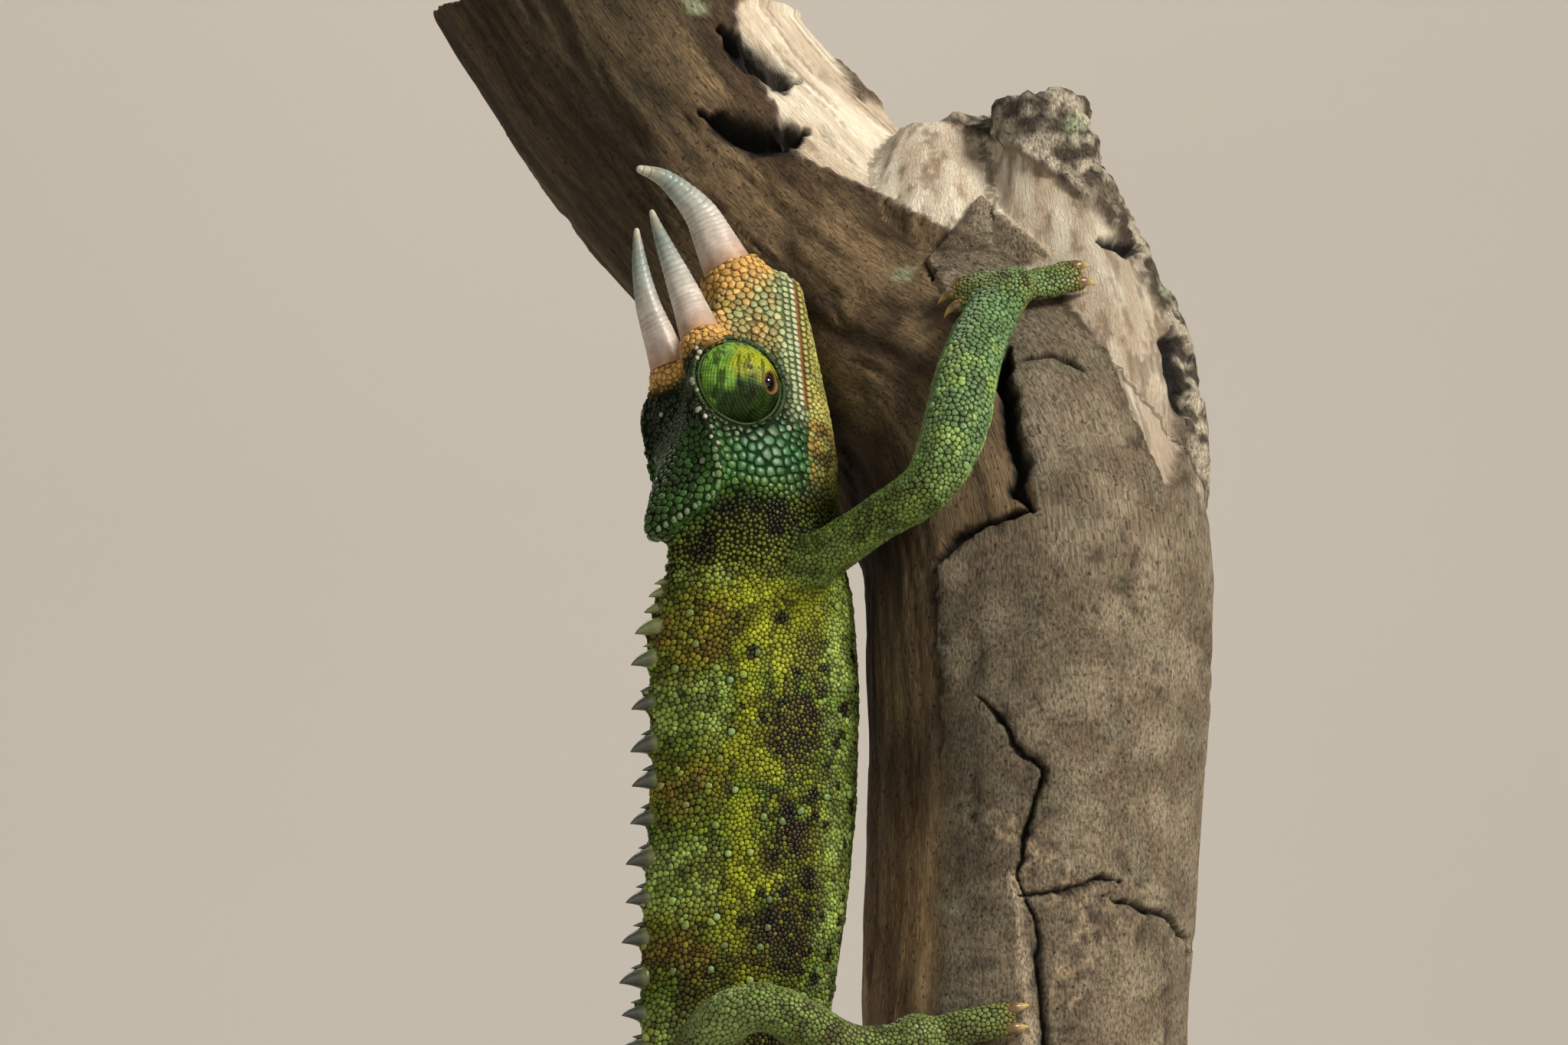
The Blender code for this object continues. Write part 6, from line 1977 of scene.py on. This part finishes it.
def along_grain(scale, stretch, wave):
    """Noise over the grain coordinates in mm, drawn out `stretch` times along the limb."""
    mapping = bark_tree.nodes.new("ShaderNodeMapping")
    mapping.inputs["Scale"].default_value = (1, 1, 1 / stretch)
    noise = bark_tree.nodes.new("ShaderNodeTexNoise")
    settings = {"Scale": scale, "Detail": 8.0, "Roughness": 0.62, "Distortion": wave}
    for socket, number in settings.items():
        noise.inputs[socket].default_value = number
    bark_tree.links.new(grain_place, mapping.inputs["Vector"])
    bark_tree.links.new(mapping.outputs["Vector"], noise.inputs["Vector"])
    return noise.outputs["Fac"]


def between(first, second, share):
    """The first value where the share is 0, the second where it is 1."""
    node = bark_tree.nodes.new("ShaderNodeMix")
    bark_tree.links.new(share, node.inputs["Factor"])
    bark_tree.links.new(first, node.inputs["A"])
    bark_tree.links.new(second, node.inputs["B"])
    return node.outputs["Result"]


fibres, specks = along_grain(3.0, 6.0, 1.0), along_grain(3.0, 1.9, 0.2)
surface_height = between(fibres, specks, plate_value)
cells = bark_tree.nodes.new("ShaderNodeTexVoronoi")
cells.inputs["Scale"].default_value = 0.8
bark_tree.links.new(grain_place, cells.inputs["Vector"])
dark_pits = ranged(bark_tree, cells.outputs["Distance"], 0.35, 1.0, 0.10, 0.22)
dark_pits = between(dark_pits, ranged(bark_tree, cells.outputs["Distance"], 1.0, 1.0), bare_value)
# the colour follows the bump's height, darker where the fibres dip: partly the grain's own colour, partly
# painted shade
streaks = ranged(bark_tree, surface_height, 0.42, 1.5, 0.36, 0.64)
streaks = between(streaks, ranged(bark_tree, surface_height, 0.82, 1.14), bare_value)
shade = bark_tree.nodes.new("ShaderNodeMath")
shade.operation = "MULTIPLY"
bark_tree.links.new(streaks, shade.inputs[0])
bark_tree.links.new(dark_pits, shade.inputs[1])
coloured(bark_tree, bark_shader, shade.outputs["Value"])
bark_tree.links.new(ranged(bark_tree, fibres, 0.72, 0.95), bark_shader.inputs["Roughness"])
bumped(bark_tree, bark_shader, surface_height, 0.0007, 0.9)
flat_grain = {"grain": grain, "plate": np.clip(plate * bark_only, 0, 1), "bare": bare}
piece("branch", bark_carved, bark_faces, bark_finish, "bark", ("perch_branch",), bark_tone, extra=flat_grain)
print("deepest crack, mm:", round(float(crack_depth.max()), 1))

# %% [markdown]
# ## Claws
#
# Each toe ends in a short hooked claw, brown at its root and like yellowed horn at its point. Its
# root lies in the toe and its point touches the bark, as the real grip does.

# %% Claws at the toes' ends
CLAW_LENGTH, CLAW_ROOT, CLAW_RADIUS, CLAW_BEND, CLAW_GAP = 1.4, 1.3, 1.0, 0.7, 0.1
claw_parts = []
for end, heading in toe_ends:
    point = off_branch([end + heading * CLAW_LENGTH], CLAW_GAP)[0]
    bend = unit(end - off_branch([end], UNDER_BARK)[0]) * CLAW_BEND
    claw_parts.append(hooked_cone(end - heading * CLAW_ROOT, point, bend, CLAW_RADIUS, 9, 12))
points, faces, share = gathered(claw_parts)
tone = mix(paint(92, 72, 42), paint(176, 152, 92), ease(0.3, 0.7, share))
claw_finish = marked_finish("claw_horn", 0.3, 0.5, (0.85, 1.15, 2600), (0.24, 0.4, 1500))
piece("claws", points, faces, claw_finish, "horn", (), tone)
print("claws", len(claw_parts))

# %% [markdown]
# ## The stand and the studio
#
# The stand is the museum's, plain on purpose: a plinth of dark stained wood with satin varnish and
# one rod of brushed steel. Their solids already have the right shape, so they only get finishes.
# Wood grain is noise drawn out along the plank; brushing is the same trick round the rod.

# %% Finishes of the stand, floor and wall
wood_finish, wood_shader, wood_tree = shader_of("stained_wood", 0.38)
plank = object_noise(wood_tree, 42, 6.0, (0.18, 2.2, 2.2))
two_tone(wood_tree, wood_shader, plank, paint(46, 28, 18), paint(92, 60, 38), 0.35, 0.68)
wood_tree.links.new(ranged(wood_tree, plank, 0.3, 0.46), wood_shader.inputs["Roughness"])
wood_shader.inputs["Coat Weight"].default_value = 0.35
wood_shader.inputs["Coat Roughness"].default_value = 0.2
bumped(wood_tree, wood_shader, object_noise(wood_tree, 260, 5.0, (0.1, 2.4, 2.4)), 0.0002, 0.5)

steel_finish, steel_shader, steel_tree = shader_of("brushed_steel", 0.3)
steel_shader.inputs["Metallic"].default_value = 1.0
brush = object_noise(steel_tree, 300, 3.0, (1, 1, 14))
two_tone(steel_tree, steel_shader, brush, (0.40, 0.40, 0.41), (0.62, 0.62, 0.63))
steel_tree.links.new(ranged(steel_tree, brush, 0.22, 0.4), steel_shader.inputs["Roughness"])
bumped(steel_tree, steel_shader, brush, 0.00005, 0.4)

for node, finish in (("stand_base", wood_finish), ("stand_rod", steel_finish)):
    for material_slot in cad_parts[node].material_slots:
        material_slot.material = finish

wall_finish, wall_shader, wall_tree = shader_of("pale_studio_paper", 0.9, 0.2)
mottle = object_noise(wall_tree, 3.0, 2.0)
two_tone(wall_tree, wall_shader, mottle, paint(208, 201, 190), paint(214, 207, 197))
backdrop.data.materials.append(wall_finish)
